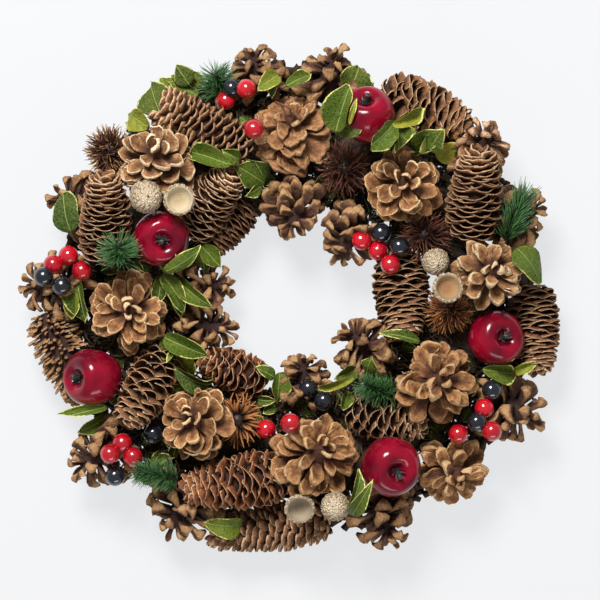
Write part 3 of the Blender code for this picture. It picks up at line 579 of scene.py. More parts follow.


# A band is the pair of values between which a mask rises.
# In each look, root is the colour of the painted shade towards the roots of the scales, deep is how strong
# the painted shade in their hollows is, and the bands set where painted light and painted shade rise.
pineLook = {
    "paintedRootShadeBand": (0.15, 0.62), "paintedShadeBand": (2.2, 6.5), "paintedLightTo": 4.5, "relief": 0.75, "knobInside": 0.4,
}
spruceLook = {**pineLook, "paintedRootShadeBand": (0.2, 0.75), "paintedShadeBand": (1.5, 4.6), "paintedLightTo": 3.8, "deep": 0.7}
scaleLooks = {
    "golden": {
        **pineLook, "rim": (0.80, 0.56, 0.31), "rimWidth": 1.05, "rimLeast": 0.45, "deep": 0.75,
        "face": (0.34, 0.150, 0.053), "warm": (0.54, 0.255, 0.090), "dark": (0.105, 0.040, 0.021),
        "back": (0.26, 0.110, 0.040), "root": (0.066, 0.027, 0.017),
    },
    "cream": {
        **pineLook, "rim": (0.90, 0.70, 0.45), "rimWidth": 1.15, "rimLeast": 0.5, "deep": 0.8,
        "face": (0.34, 0.160, 0.060), "warm": (0.54, 0.28, 0.110), "dark": (0.098, 0.039, 0.020),
        "back": (0.26, 0.12, 0.046), "root": (0.060, 0.026, 0.017),
        "paintedRootShadeBand": (0.15, 0.65), "paintedShadeBand": (2.2, 6.2),
    },
    "fan": {
        **pineLook, "rim": (0.62, 0.38, 0.195), "rimWidth": 0.8, "rimLeast": 0.3, "deep": 0.65,
        "face": (0.40, 0.19, 0.084), "warm": (0.55, 0.27, 0.112), "dark": (0.13, 0.052, 0.026),
        "back": (0.34, 0.16, 0.070), "root": (0.055, 0.023, 0.015),
        "paintedRootShadeBand": (0.1, 0.5), "paintedShadeBand": (3.0, 9.0), "relief": 1.0,
    },
    "side": {
        **pineLook, "rim": (0.46, 0.265, 0.120), "rimWidth": 0.9, "rimLeast": 0.2, "deep": 0.4,
        "face": (0.105, 0.046, 0.026), "warm": (0.18, 0.080, 0.038), "dark": (0.058, 0.027, 0.020),
        "back": (0.115, 0.050, 0.027), "root": (0.040, 0.020, 0.017),
        "paintedRootShadeBand": (0.05, 0.5), "paintedShadeBand": (2.5, 7.0), "knob": (0.40, 0.210, 0.088),
    },
    "spruceCream": {
        **spruceLook, "rim": (0.84, 0.62, 0.39), "rimWidth": 0.5, "rimLeast": 0.5, "paintedShadeBand": (1.6, 5.4),
        "face": (0.21, 0.088, 0.036), "warm": (0.36, 0.155, 0.058), "dark": (0.074, 0.032, 0.018),
        "back": (0.20, 0.090, 0.040), "root": (0.048, 0.024, 0.017),
    },
    "spruceTan": {
        **spruceLook, "rim": (0.66, 0.43, 0.25), "rimWidth": 0.6, "rimLeast": 0.4,
        "face": (0.21, 0.094, 0.042), "warm": (0.34, 0.158, 0.068), "dark": (0.074, 0.034, 0.020),
        "back": (0.22, 0.103, 0.047), "root": (0.046, 0.023, 0.017),
    },
    "spruceRed": {
        **spruceLook, "rim": (0.70, 0.47, 0.285), "rimWidth": 0.48, "rimLeast": 0.5, "deep": 0.75,
        "face": (0.24, 0.078, 0.029), "warm": (0.38, 0.130, 0.041), "dark": (0.080, 0.030, 0.018),
        "back": (0.21, 0.078, 0.031), "root": (0.046, 0.020, 0.015), "paintedLightTo": 4.2, "paintedShadeBand": (2.0, 6.0),
    },
    "spruceDark": {
        **spruceLook, "rim": (0.40, 0.225, 0.115), "rimWidth": 0.6, "rimLeast": 0.3, "paintedLightTo": 3.6,
        "face": (0.125, 0.052, 0.025), "warm": (0.21, 0.086, 0.037), "dark": (0.058, 0.026, 0.018),
        "back": (0.14, 0.060, 0.030), "root": (0.040, 0.020, 0.016),
    },
}
for kind, rim, knob in (("golden", (0.60, 0.39, 0.20), (0.43, 0.235, 0.098)),
                        ("cream", (0.70, 0.52, 0.31), (0.47, 0.29, 0.138))):
    scaleLooks[kind + "Knobs"] = {**scaleLooks[kind], "rim": rim, "knob": knob, "knobInside": 0.25}
scaleMaterials = {name: scaleMaterial("scale_" + name, look) for name, look in scaleLooks.items()}


def barkMaterial(name, light, dark, relief):
    g = newMaterial(name)
    streaks = g.group(fibreStreaks, Fineness=1.6, Length=1.6)
    patches = g.group(weathering, Size=60.0)["Patches"]
    colour = g.mix(streaks["Streaks"], dark, light)
    colour = g.mix(g.times(patches, 0.6), colour, dark)
    return g.finish(colour, g.fade(patches, 0.6, 0.9), streaks["Ridges"], relief)


def bristleMaterial(name, tip, body, base, tipFrom):
    g = newMaterial(name)
    along, tone = g.read("along", "tone")
    colour = g.mix(g.ease(along, 0.15, 0.6), base, body)
    colour = g.mix(g.times(g.ease(along, tipFrom, 1.0), g.ease(tone, 0.1, 0.9)), colour, tip)
    return g.finish(colour, g.fade(tone, 0.45, 0.75), shine=0.25)


def lacquerMaterial(name, bright, deep, coat, ior):
    # Clear lacquer over a mottled skin.
    g = newMaterial(name)
    age = g.group(weathering, Size=45.0)
    colour = g.mix(age["Patches"], bright, deep)
    colour = g.mix(g.times(age["Specks"], 0.35), colour, deep)
    roughness = g.fade(age["Patches"], 0.16, 0.24)
    return g.finish(colour, roughness, coat=coat, coatRoughness=0.04, coatIor=ior, ior=ior)


def stalkMaterial():
    g = newMaterial("apple_stalk")
    streaks = g.group(fibreStreaks, Fineness=1.5, Length=0.6)
    colour = g.mix(streaks["Streaks"], (0.008, 0.009, 0.009), (0.055, 0.058, 0.052))
    return g.finish(colour, 0.35, streaks["Ridges"], 0.2)


def cupMaterial():
    g = newMaterial("acorn_cup_scales")
    age = g.group(weathering, Size=120.0)
    tone = g.read("tone")
    # Pale on the knobs and dark between them, which is painted shade in the hollows.
    colour = g.mix(g.ease(tone, 0.15, 0.8), (0.22, 0.145, 0.085), (0.82, 0.68, 0.46))
    colour = g.mix(g.times(age["Patches"], 0.4), colour, (0.60, 0.46, 0.30))
    colour = g.mix(g.times(age["Specks"], 0.4), colour, (0.72, 0.62, 0.45))
    cells = g.add("TexVoronoi", {"Scale": 800, "Vector": g.place()})
    height = g.ease(cells.outputs["Distance"], 0.15, 0.75, 1.0, 0.0)
    # Painted shade: darker in the crevices between the small cells of the bump.
    colour = g.mix(g.times(g.math("SUBTRACT", 1.0, height), 0.6), colour, (0.24, 0.16, 0.095))
    return g.finish(colour, g.fade(tone, 0.95, 0.75), height, 0.7)


def cupInsideMaterial(name, pale, deep):
    g = newMaterial(name)
    along = g.read("along")
    rings = g.math("SINE", g.times(along, 190.0))
    colour = g.mix(g.ease(along, 0.72, 1.0), pale, deep)
    colour = g.mix(g.ease(rings, -1, 1, 0.0, 0.3), colour, deep)
    return g.finish(colour, g.ease(rings, -1, 1, 0.5, 0.7), rings, 0.12)


def leafMaterial():
    # Preserved leaves, from dark green to yellow-green, with a pale midrib and a cream edge.
    g = newMaterial("leaf")
    grain, tone, inner = g.read("grain", "tone", "inner")
    flat = g.add("SeparateXYZ", {0: grain}).outputs
    age = g.group(weathering, Size=55.0)
    rim = g.group(wornRim, Width=0.8, Unevenness=0.8)["Rim"]
    green = g.mix(g.ease(tone, 0.0, 0.55), (0.012, 0.034, 0.004), (0.070, 0.128, 0.006))
    green = g.mix(g.ease(tone, 0.5, 1.0), green, (0.38, 0.35, 0.028))
    green = g.mix(g.times(age["Blotches"], 0.4), green, (0.036, 0.050, 0.006))
    green = g.mix(g.times(age["Patches"], 0.45), green, (0.11, 0.125, 0.010))
    green = g.mix(g.times(age["Specks"], 0.55), green, (0.010, 0.026, 0.004))
    under = g.mix(age["Patches"], (0.20, 0.23, 0.035), (0.30, 0.29, 0.07))
    fromMidrib = g.math("ABSOLUTE", flat["X"])
    midrib = g.ease(fromMidrib, 0.15, 0.5, 1.0, 0.0)
    slant = g.math("SUBTRACT", flat["Y"], g.times(fromMidrib, 0.8))
    veins = g.ease(g.math("SINE", g.times(slant, 2.1)), 0.86, 1.0)
    net = g.add("TexVoronoi", {"Scale": 0.5, "Vector": grain}, feature="DISTANCE_TO_EDGE")
    lines = g.math("MAXIMUM", midrib, g.times(veins, 0.16))
    netLines = g.ease(net.outputs["Distance"], 0.0, 0.13, 1.0, 0.0)
    lines = g.math("MAXIMUM", lines, g.times(netLines, 0.34))
    colour = g.mix(g.times(lines, 0.7), g.mix(inner, under, green), (0.33, 0.38, 0.10))
    colour = g.mix(g.times(rim, 0.95), colour, (0.70, 0.68, 0.20))
    height = g.math("ADD", lines, g.times(age["Blotches"], 0.6))
    return g.finish(colour, g.fade(age["Patches"], 0.42, 0.6), height, 0.45, shine=0.18)


def needleMaterial():
    g = newMaterial("fir_needle")
    along, tone = g.read("along", "tone")
    colour = g.mix(g.fade(tone, 0.0, 1.0), (0.012, 0.046, 0.011), (0.056, 0.160, 0.038))
    colour = g.mix(g.ease(along, 0.0, 0.5), (0.006, 0.019, 0.008), colour)
    colour = g.mix(g.ease(along, 0.6, 1.0, 0.0, 0.5), colour, (0.15, 0.31, 0.12))
    return g.finish(colour, g.fade(tone, 0.3, 0.5))


def mossAndPaintedShadeMaterial():
    # Very dark moss and twigs: partly their own colour, partly painted shade for the gaps between the
    # pieces.
    g = newMaterial("undergrowth")
    patches = g.group(weathering, Size=60.0)["Patches"]
    tone = g.read("tone")
    colour = g.mix(g.ease(tone, 0.3, 1.0), (0.036, 0.021, 0.014), (0.115, 0.062, 0.031))
    colour = g.mix(g.times(patches, g.ease(tone, 0.4, 0.7), 0.8), colour, (0.040, 0.055, 0.014))
    colour = g.mix(g.ease(tone, 0.95, 1.0), colour, (0.17, 0.095, 0.045))
    return g.finish(colour, g.fade(tone, 0.7, 0.95), shine=0.2)


vineBark = barkMaterial("vine_bark", (0.15, 0.092, 0.055), (0.042, 0.025, 0.017), 1.2)
darkWire = barkMaterial("dark_wire", (0.05, 0.035, 0.03), (0.015, 0.012, 0.012), 0.1)
bristleMaterials = {
    name: bristleMaterial("bristle_" + name, *values)
    for name, values in {
        "dark": ((0.25, 0.090, 0.044), (0.060, 0.021, 0.013), (0.014, 0.007, 0.005), 0.5),
        "tan": ((0.62, 0.32, 0.10), (0.070, 0.028, 0.018), (0.015, 0.008, 0.006), 0.62),
        "star": ((0.46, 0.20, 0.065), (0.36, 0.135, 0.042), (0.03, 0.015, 0.010), 0.4),
        "orange": ((0.52, 0.23, 0.065), (0.17, 0.058, 0.022), (0.014, 0.007, 0.005), 0.5),
    }.items()
}
appleRed = lacquerMaterial("apple_lacquer", (0.26, 0.002, 0.017), (0.095, 0.001, 0.009), 0.55, 1.3)
berryRed = lacquerMaterial("berry_red", (0.51, 0.005, 0.014), (0.33, 0.001, 0.008), 0.8, 1.5)
berryBlack = lacquerMaterial("berry_black", (0.008, 0.011, 0.016), (0.004, 0.006, 0.010), 0.8, 1.5)
appleStalk = stalkMaterial()
cupOutside = cupMaterial()
cupInsides = {
    name: cupInsideMaterial("acorn_cup_inside_" + name, pale, deep)
    for name, pale, deep in (
        ("cream", (0.66, 0.55, 0.36), (0.42, 0.31, 0.17)),
        ("orange", (0.42, 0.29, 0.15), (0.30, 0.13, 0.04)),
        ("grey", (0.42, 0.33, 0.22), (0.20, 0.14, 0.09)),
    )
}
leafGreen = leafMaterial()
needleGreen = needleMaterial()
mossAndPaintedShade = mossAndPaintedShadeMaterial()
print("materials made")

# The ring of twisted vines under everything, bound with wire.
vineRing = {
    "strands": 8, "twists": 5, "spreadAcross": 13.2, "spreadUp": 9.2, "thickness": 5.6, "core": 8.5,
    "height": 15.3, "bindings": 34, "bindingAcross": 19.2, "bindingUp": 14.2, "bindingHeight": 15,
    "wire": 0.5,
}


def buildRing():
    around = np.linspace(0, math.tau, 201)
    rng = np.random.default_rng(seeds["ring"])
    strands = []
    for k in range(vineRing["strands"]):
        wobble = rng.uniform(0, 6.28, 3)
        spin = math.tau * k / vineRing["strands"] + vineRing["twists"] * around
        spin = spin + 0.25 * np.sin(3 * around + wobble[0])
        away = ringRadius + vineRing["spreadAcross"] * np.cos(spin)
        height = vineRing["height"] + vineRing["spreadUp"] * np.sin(spin)
        knots = 0.9 + 0.08 * np.sin(17 * around + wobble[1]) + 0.05 * np.sin(41 * around + wobble[2])
        path = polar(away, around, height) + middle
        strands.append(tube(path, vineRing["thickness"] * knots, 10, rng.uniform()))
    core = polar(ringRadius, around, np.full(len(around), vineRing["height"])) + middle
    strands.append(tube(core, vineRing["core"], 12))
    makePiece("vine_ring_strands", joined(strands), [vineBark], "vine", ["vine_ring"])
    loops = []
    turn = np.linspace(0, math.tau, 29)
    for k in range(vineRing["bindings"]):
        angle = math.tau * (k + rng.uniform(-0.2, 0.2)) / vineRing["bindings"]
        away = ringRadius + vineRing["bindingAcross"] * np.cos(turn)
        height = vineRing["bindingHeight"] + vineRing["bindingUp"] * np.sin(turn)
        path = polar(away, angle + 0.05 * np.sin(turn), height) + middle
        loops.append(tube(path, vineRing["wire"], 5))
    makePiece("ring_binding_wire", joined(loops), [darkWire], "vine")


buildRing()
print("ring made")

ties = []
tieWire = {"footHeight": 14, "sag": -7.0, "radius": 0.9}


def onRing(point):
    # The place on the middle line of the ring that is nearest to a point.
    flat = np.array((point[0] - middle[0], point[1] - middle[1], 0))
    return flat / np.linalg.norm(flat) * ringRadius + middle


def addTie(centre):
    # A short dark wire from the heart of a piece to the ring.
    foot = onRing(centre) + (0, 0, tieWire["footHeight"])
    ties.append(tube(bendPath(centre, foot, tieWire["sag"]), tieWire["radius"], 6))


def eitherOf(pair):
    # 0 or 1 for each face of two joined shapes, for the one that it comes from.
    return [k for key in ("quads", "tris") for k in (0, 1) for face in pair[k][key]]


def makeTied(node, ending, shape, materials, slot, faceMaterials=None):
    makePiece(node + ending, shape, materials, slot, [node], faceMaterials)
    addTie(shape["points"].mean(0))


# Open pine cones that face the camera: centre x and y, azimuth and elevation of the tip, diameter,
# length, look, form.
frontPineCones = {
    "front_pine_cone_1": (-4, 113, 94, 60, 58, 44, "fan", "fan"),
    "front_pine_cone_2": (70, 76, 90, 84, 54, 42, "golden", "shells"),
    "front_pine_cone_3": (127, 18, 40, 76, 50, 38, "creamKnobs", "knobs"),
    "front_pine_cone_4": (92, -54, 30, 76, 58, 44, "goldenKnobs", "knobs"),
    "front_pine_cone_5": (104, -111, -60, 66, 51, 40, "goldenKnobs", "knobs"),
    "front_pine_cone_6": (14, -101, 40, 66, 60, 46, "goldenKnobs", "tongues"),
    "front_pine_cone_7": (-69, -80, 150, 72, 52, 42, "golden", "shells"),
    "front_pine_cone_8": (-111, -8, 60, 84, 57, 46, "golden", "tongues"),
    "front_pine_cone_9": (-93, 93, 98, 62, 55, 44, "cream", "shells"),
}
# Pine cones wired beside the ring, seen from their sides. The last value is the height of the centre.
sidePineCones = {
    "outer_pine_cone_1": (20, 154, 84, 22, 45, 44, 30),
    "outer_pine_cone_2": (150, 60, 18, 15, 44, 44, 30),
    "outer_pine_cone_3": (147, -72, -22, 18, 49, 46, 30),
    "outer_pine_cone_4": (59, -148, -68, 12, 50, 46, 30),
    "outer_pine_cone_5": (-80, -143, -119, 12, 49, 44, 28),
    "outer_pine_cone_6": (-136, -106, -148, 15, 45, 44, 28),
    "outer_pine_cone_7": (-169, 12, 176, 15, 42, 44, 28),
    "outer_pine_cone_8": (-149, 65, 156, 18, 46, 44, 28),
    "outer_pine_cone_9": (-28, 155, 100, 15, 41, 38, 26),
    "inner_pine_cone_1": (-3, 57, -88, 46, 43, 40, 40),
    "inner_pine_cone_2": (32, 43, -125, 25, 44, 40, 32),
    "inner_pine_cone_3": (41, -28, 140, 20, 42, 38, 30),
    "inner_pine_cone_4": (4, -50, 92, 22, 38, 36, 28),
}
innerLeftPair = ((-57, 9, 4, 14, 36, 37, 28), (-55, -19, -6, 14, 37, 39, 28))
spoonCones = ("inner_pine_cone_1", "inner_pine_cone_2")

# Forms of a scale, in parts of the cone's radius. Each varies a little from scale to scale.
petalForm = {
    "count": 38, "halfWidth": 0.275, "claw": 0.42, "belly": 0.66, "round": 0.29, "dish": 0.11, "cup": 0.30,
    "lip": 0.05, "thickness": 0.062, "swell": 0.7, "wave": 0.18, "ragged": 0.020, "skew": 0.11,
    "twist": 0.45, "keel": 0.5, "rootRadius": 0.24, "wobble": 0.24, "heave": 0.09, "closing": 0.74,
    "stretch": 1.0,
}
knobForm = {
    **petalForm, "count": 33, "halfWidth": 0.24, "claw": 0.40, "belly": 0.78, "taper": 0.10, "round": 0.38,
    "dish": 0.02, "cup": 0.16, "thickness": 0.085, "swell": 1.0, "keel": 0.9, "skew": 0.15,
    "wobble": 0.26, "heave": 0.10,
}
tongueForm = {
    **petalForm, "count": 44, "halfWidth": 0.22, "belly": 0.72, "dish": 0.07, "cup": 0.26,
    "thickness": 0.070, "swell": 0.9, "skew": 0.14, "wobble": 0.26,
}
fanForm = {
    **petalForm, "count": 46, "halfWidth": 0.27, "belly": 0.8, "dish": 0.05, "cup": 0.10, "wave": 0.24,
    "ragged": 0.03, "skew": 0.08, "heave": 0.05, "closing": 0.42,
}
spoonForm = {
    "count": 34, "halfWidth": 0.265, "claw": 0.48, "belly": 0.80, "taper": 0.12, "round": 0.34,
    "dish": -0.02, "cup": 0.14, "lip": 0.06, "thickness": 0.095, "swell": 0.9, "wave": 0.14,
    "ragged": 0.03, "skew": 0.15, "twist": 0.45, "keel": 0.9, "thinRoot": 0.35, "rootRadius": 0.26,
    "wobble": 0.2, "heave": 0.07, "stretch": 1.08, "umbo": 1.1, "closing": 0.5,
}
fingerForm = {
    **spoonForm, "count": 37, "halfWidth": 0.245, "claw": 0.56, "taper": 0.15, "lip": 0.05,
    "thickness": 0.110, "skew": 0.16, "wobble": 0.24, "heave": 0.08, "stretch": 1.12,
}
coneForms = {"fan": fanForm, "shells": petalForm, "knobs": knobForm, "tongues": tongueForm}
pineCore = ((0, -0.46), (0.16, -0.45), (0.34, -0.36), (0.28, 0), (0.12, 0.26), (0, 0.3))
spruceCore = ((0, -0.48), (0.2, -0.47), (0.45, -0.38), (0.55, 0), (0.36, 0.34), (0, 0.44))


def coneCore(profile, radius, length):
    return valued(lathe(np.array(profile) * (radius, length), 14), along=0, inner=0)


def pineCone(grid, form, diameter, length, seed):
    rng = np.random.default_rng(seed)
    radius = diameter / 2
    count = form["count"]
    t = (np.arange(count) + 0.5) / count
    angle = goldenAngle * np.arange(count) + rng.normal(0, form["wobble"], count)
    reach = radius * (0.9 + 0.7 * t - 1.2 * t * t) * rng.uniform(0.88, 1.04, count) * form["stretch"]
    reach *= 1 - form["closing"] * smooth(0.82, 1.0, t)
    heave = rng.normal(0, form["heave"], count) * length * (1 - 0.5 * t)
    tipHeight = length * (-0.42 + 0.46 * t + 0.46 * t * t) + heave
    roots = polar(radius * form["rootRadius"] * (1 - 0.8 * t), angle, length * (-0.38 + 0.62 * t))
    tips = polar(reach, angle + rng.normal(0, 0.06, count), np.minimum(tipHeight, 0.51 * length))
    lifts = (0.0, 0.0, 1.0) - 0.35 * polar(t, angle, 0 * t) + rng.normal(0, 0.12, (count, 3))
    each = dict(form)
    each["halfWidth"] = form["halfWidth"] * radius * (1 - 0.6 * t**2.8) * rng.uniform(0.78, 1.16, count)
    each["thickness"] = form["thickness"] * radius * (1 - 0.4 * t**4) * rng.uniform(0.8, 1.25, count)
    each["lip"] = form["lip"] + rng.normal(0, 0.05, count)
    each["cup"] = form["cup"] * rng.uniform(0.3, 1.5, count)
    scales = growScales(grid, roots, tips, lifts, each, rng, rng.uniform(0, 1, count))
    stalk = tube([(0, 0, -0.4 * length), (0.4, 0.2, -0.47 * length), (0.6, 0.5, -0.5 * length)], 1.7, 7)
    return joined([scales, coneCore(pineCore, radius, length), valued(stalk, along=0.4)])


def brokenTip(length):
    # A thin stalk on the tip of the cone under the top of the ring, with a short twig across it.
    top = 0.47 * length
    stalk = [(0, 0, top), (1.5, -2, top + 3.0), (4, -5, top + 3.6), (7, -8, top + 2.8)]
    twig = [(-10, 8, top - 1), (-5, 4, top + 1.6), (0, 0, top + 2.6)]
    parts = [tube(stalk, (1.1, 1.0, 1.0, 1.3), 8, 0.8), tube(twig, (0.9, 0.8, 0.7), 7, 0.5)]
    return valued(joined(parts), along=0.75)


def fingerCone(diameter, length, seed):
    return pineCone(fingerGrid, fingerForm, diameter, length, seed)


def conePair(rows, growers, seed):
    pair = []
    for k, (x, y, azimuth, elevation, diameter, length, height) in enumerate(rows):
        cone = growers[k](diameter, length, seed + k)
        pair.append(moved(cone, placeAt(x, y, height, azimuth, elevation)))
    return pair


def buildPineCones():
    for k, (name, row) in enumerate(frontPineCones.items()):
        x, y, azimuth, elevation, diameter, length, look, form = row
        shape = pineCone(petalGrid, coneForms[form], diameter, length, seeds["frontPine"] + k)
        if form == "fan":
            shape = joined([shape, brokenTip(length)])
        shape = stood(shape, name, x, y, None, azimuth, elevation)
        makeTied(name, "_scales", shape, [scaleMaterials[look]], "pine_scale")
    for k, (name, (x, y, azimuth, elevation, diameter, length, height)) in enumerate(sidePineCones.items()):
        form = spoonForm if name in spoonCones else fingerForm
        shape = pineCone(fingerGrid, form, diameter, length, seeds["sidePine"] + k)
        shape = stood(shape, name, x, y, height, azimuth, elevation)
        makeTied(name, "_scales", shape, [scaleMaterials["side"]], "pine_scale")
    name = "inner_pine_cones_5"
    pair = conePair(innerLeftPair, (fingerCone, fingerCone), seeds["innerLeft"])
    shape = setOnTop(joined(pair), name)
    makePiece(name + "_scales", shape, [scaleMaterials["side"]], "pine_scale", [name])


buildPineCones()
print("pine cones made")

# Spruce cones on their sides: centre x and y, azimuth and elevation of the tip, diameter, length, height
# of the centre of those beside the ring, look, form.
spruceCones = {
    "spruce_cone_1": (84, 125, -21, 4, 39, 66, None, "spruceCream", "arcs"),
    "spruce_cone_4": (69, 2, -86, 16, 39, 62, None, "spruceCream", "plates"),
    "spruce_cone_5": (59, -79, -12, 12, 34, 58, None, "spruceCream", "arcs"),
    "spruce_cone_7": (-41, -121, 188, 6, 39, 76, None, "spruceRed", "arcs"),
    "spruce_cone_8": (-100, -59, 240, 16, 36, 62, None, "spruceCream", "arcs"),
    "spruce_cone_10": (-41, -46, 160, 14, 31, 50, None, "spruceRed", "arcs"),
    "spruce_cone_11": (-127, 54, 88, 22, 36, 66, None, "spruceTan", "plates"),
    "spruce_cone_13": (-63, 113, 151, 8, 36, 74, None, "spruceTan", "mixed"),
    "spruce_cone_3": (160, -20, -86, 8, 35, 63, 26, "spruceCream", "plates"),
    "spruce_cone_6": (-20, -151, 188, 0, 36, 86, 20, "spruceTan", "knobs"),
    "spruce_cone_9": (-150, -38, -65, 5, 37, 68, 26, "side", "strips"),
}
innerSprucePair = ((-47, 47, 232, 4, 33, 46, 30), (-56, 63, 52, 26, 36, 58, 48))
rightSprucePair = ((117, 70, 86, 22, 38, 68, 48), (121, 102, 48, 38, 44, 38, 46))

plainShell = {
    "claw": 0.45, "belly": 0.62, "round": 0.48, "dish": 0.06, "wave": 0.08, "ragged": 0.02, "skew": 0.04,
    "twist": 0.10, "thinRoot": 0.2, "swell": 0.3, "open": 1.0, "shortest": 0.92, "blunt": 0, "paleTip": 0.25,
}
shellForms = {
    "arcs": {
        **plainShell, "perMillimetre": 1.5, "halfWidth": 0.42, "cup": 0.54, "round": 0.42, "dish": 0.10,
        "thickness": 0.55, "open": 1.22, "noise": 0.10, "twist": 0.2, "paleTip": 0.35,
    },
    "plates": {
        **plainShell, "perMillimetre": 1.95, "halfWidth": 0.45, "cup": 0.36, "thickness": 0.65,
        "open": 0.95, "noise": 0.07,
    },
    "mixed": {
        **plainShell, "perMillimetre": 1.9, "halfWidth": 0.29, "cup": 0.50, "thickness": 1.0, "keel": 0.3,
        "noise": 0.09, "paleTip": 0.6, "blunt": 0.25,
    },
    "knobs": {
        **plainShell, "perMillimetre": 2.1, "halfWidth": 0.25, "cup": 0.30, "thickness": 1.15,
        "open": 0.45, "keel": 0.5, "noise": 0.13,
    },
    "strips": {
        **plainShell, "perMillimetre": 4.6, "halfWidth": 0.072, "cup": 0.20, "thickness": 0.9,
        "open": 1.05, "keel": 0.6, "claw": 0.8, "skew": 0.14, "noise": 0.2, "shortest": 0.80, "paleTip": 0.1,
    },
}


def spruceCone(diameter, length, style, seed):
    rng = np.random.default_rng(seed)
    radius = diameter / 2
    form = shellForms[style]
    noise = form["noise"]
    count = round(length * form["perMillimetre"])
    t = (np.arange(count) + 0.3) / count
    angle = goldenAngle * np.arange(count) + rng.normal(0, 0.5 * noise, count)
    envelope = radius * (0.72 + 0.75 * t - 1.06 * t * t) * 1.2 * (1 - 0.4 * np.exp(-t * 22))
    envelope *= 1 - 0.35 * smooth(0.93, 1.0, t)
    envelope += form["blunt"] * radius * smooth(0.5, 1, t)
    tipHeight = (t - 0.5) * length * 0.97 + 1.0
    back = (0.58 - 0.46 * form["open"] * (1 - t**3)) * radius * (0.5 + 0.5 * smooth(0, 0.12, t))
    roots = polar(radius * (0.30 - 0.16 * t), angle, np.maximum(tipHeight - back, -0.47 * length))
    reach = envelope * rng.uniform(form["shortest"], 1.05, count)
    tips = polar(reach, angle, tipHeight + rng.normal(0, 6 * noise, count))
    lifts = -polar(np.ones(count), angle, -0.6 - 0 * t) + rng.normal(0, noise, (count, 3))
    each = dict(form)
    broad = np.clip(envelope / radius * 1.1, 0.5, 1) * rng.uniform(0.85, 1.12, count)
    each["halfWidth"] = form["halfWidth"] * radius * broad
    each["thickness"] = form["thickness"] * (1 + 0.8 * smooth(0.7, 0.95, t))
    pale = form["paleTip"]
    tone = (1 - pale) * rng.uniform(0, 1, count) + pale * smooth(0.65, 0.92, t)
    scales = growScales(shellGrid, roots, tips, lifts, each, rng, tone)
    return joined([scales, coneCore(spruceCore, radius, length)])


def plateCone(diameter, length, seed):
    return spruceCone(diameter, length, "plates", seed)


def buildSpruceCones():
    for k, (name, row) in enumerate(spruceCones.items()):
        x, y, azimuth, elevation, diameter, length, height, look, style = row
        seed = seeds["besideSpruce" if height else "spruce"] + k
        shape = stood(spruceCone(diameter, length, style, seed), name, x, y, height, azimuth, elevation)
        makeTied(name, "_scales", shape, [scaleMaterials[look]], "spruce_scale")
    name = "spruce_cones_12"
    pair = conePair(innerSprucePair, (plateCone, plateCone), seeds["innerSpruce"])
    finishes = [scaleMaterials["spruceDark"], scaleMaterials["spruceCream"]]
    makeTied(name, "_scales", setOnTop(joined(pair), name), finishes, "spruce_scale", eitherOf(pair))
    name = "spruce_and_pine_cone_2"
    pair = conePair(rightSprucePair, (plateCone, fingerCone), seeds["rightSpruce"])
    shape = setOnTop(joined(pair), name)
    makeTied(name, "_scales", shape, [scaleMaterials["spruceTan"]], "spruce_scale")


buildSpruceCones()
print("spruce cones made")

# Seed heads: centre, diameter, height of one beside the ring, bristles, their half width, flatness, look.
seedHeads = {
    "seed_head_1": (31, 86, 40, None, 400, 0.85, 0.3, "dark"),
    "seed_head_2": (84, 42, 39, None, 400, 0.85, 0.3, "dark"),
    "seed_head_3": (100, -7, 36, None, 300, 0.95, 0.3, "orange"),
    "seed_head_4": (-40, -80, 38, None, 90, 1.5, 0.22, "star"),
    "seed_head_5": (-125, 100, 37, 26, 480, 0.72, 0.4, "tan"),
}
# top is the level from which bristles cover the sphere downwards, shortest is their least reach, and
# heart is the size of the ball under them.
bristleForms = {
    "ball": {"top": 1, "shortest": 0.7, "heart": 0.42},
    "star": {"top": 0.72, "shortest": 0.82, "heart": 0.26},
}


def seedHead(diameter, count, width, flatness, form, seed):
    rng = np.random.default_rng(seed)
    radius = diameter / 2
    level = form["top"] - (1 + form["top"]) * (np.arange(count) + 0.5) / count
    out = polar(np.sqrt(1 - level**2), goldenAngle * np.arange(count), level)
    out = out + rng.normal(0, 0.05, (count, 3))
    out /= lengths(out)
    reach = radius * rng.uniform(form["shortest"], 1.06, count)
    bends = np.cross(out, rng.normal(0, 1, (count, 3))) * radius * 0.07
    roots = out * radius * 0.22
    spines = growSpines(roots, out * reach[:, None], bends, width, flatness, rng, rings=5, blunt=0.2)
    size = radius * form["heart"]
    ball = lathe([(0, -size), (0.7 * size, -0.7 * size), (size, 0), (0.7 * size, 0.7 * size), (0, size)], 16)
    return joined([spines, valued(ball, along=0, tone=0)])


def buildSeedHeads():
    for k, (name, row) in enumerate(seedHeads.items()):
        x, y, diameter, height, count, width, flatness, look = row
        form = bristleForms.get(look, bristleForms["ball"])
        head = seedHead(diameter, count, width, flatness, form, seeds["seedHead"] + k)
        shape = stood(head, name, x, y, height, 0, 90)
        makeTied(name, "_bristles", shape, [bristleMaterials[look]], "bristle")


buildSeedHeads()
print("seed heads made")

# Apples: centre, azimuth and elevation of the stalk, diameter.
apples = {
    "apple_1": (45, 121, 95, 45, 36),
    "apple_2": (131, -26, 5, 66, 37),
    "apple_3": (61, -110, -40, 66, 39),
    "apple_4": (-136, -52, 182, 42, 38),
    "apple_5": (-90, 40, -50, 80, 37),
}
appleProfile = (
    (0, -0.74), (0.2, -0.8), (0.45, -0.87), (0.7, -0.76), (0.88, -0.5), (0.98, -0.2), (1.0, 0.08),
    (0.96, 0.36), (0.84, 0.62), (0.66, 0.77), (0.48, 0.79), (0.33, 0.72), (0.22, 0.61), (0.1, 0.54),
    (0, 0.52),
)
sepals = 9


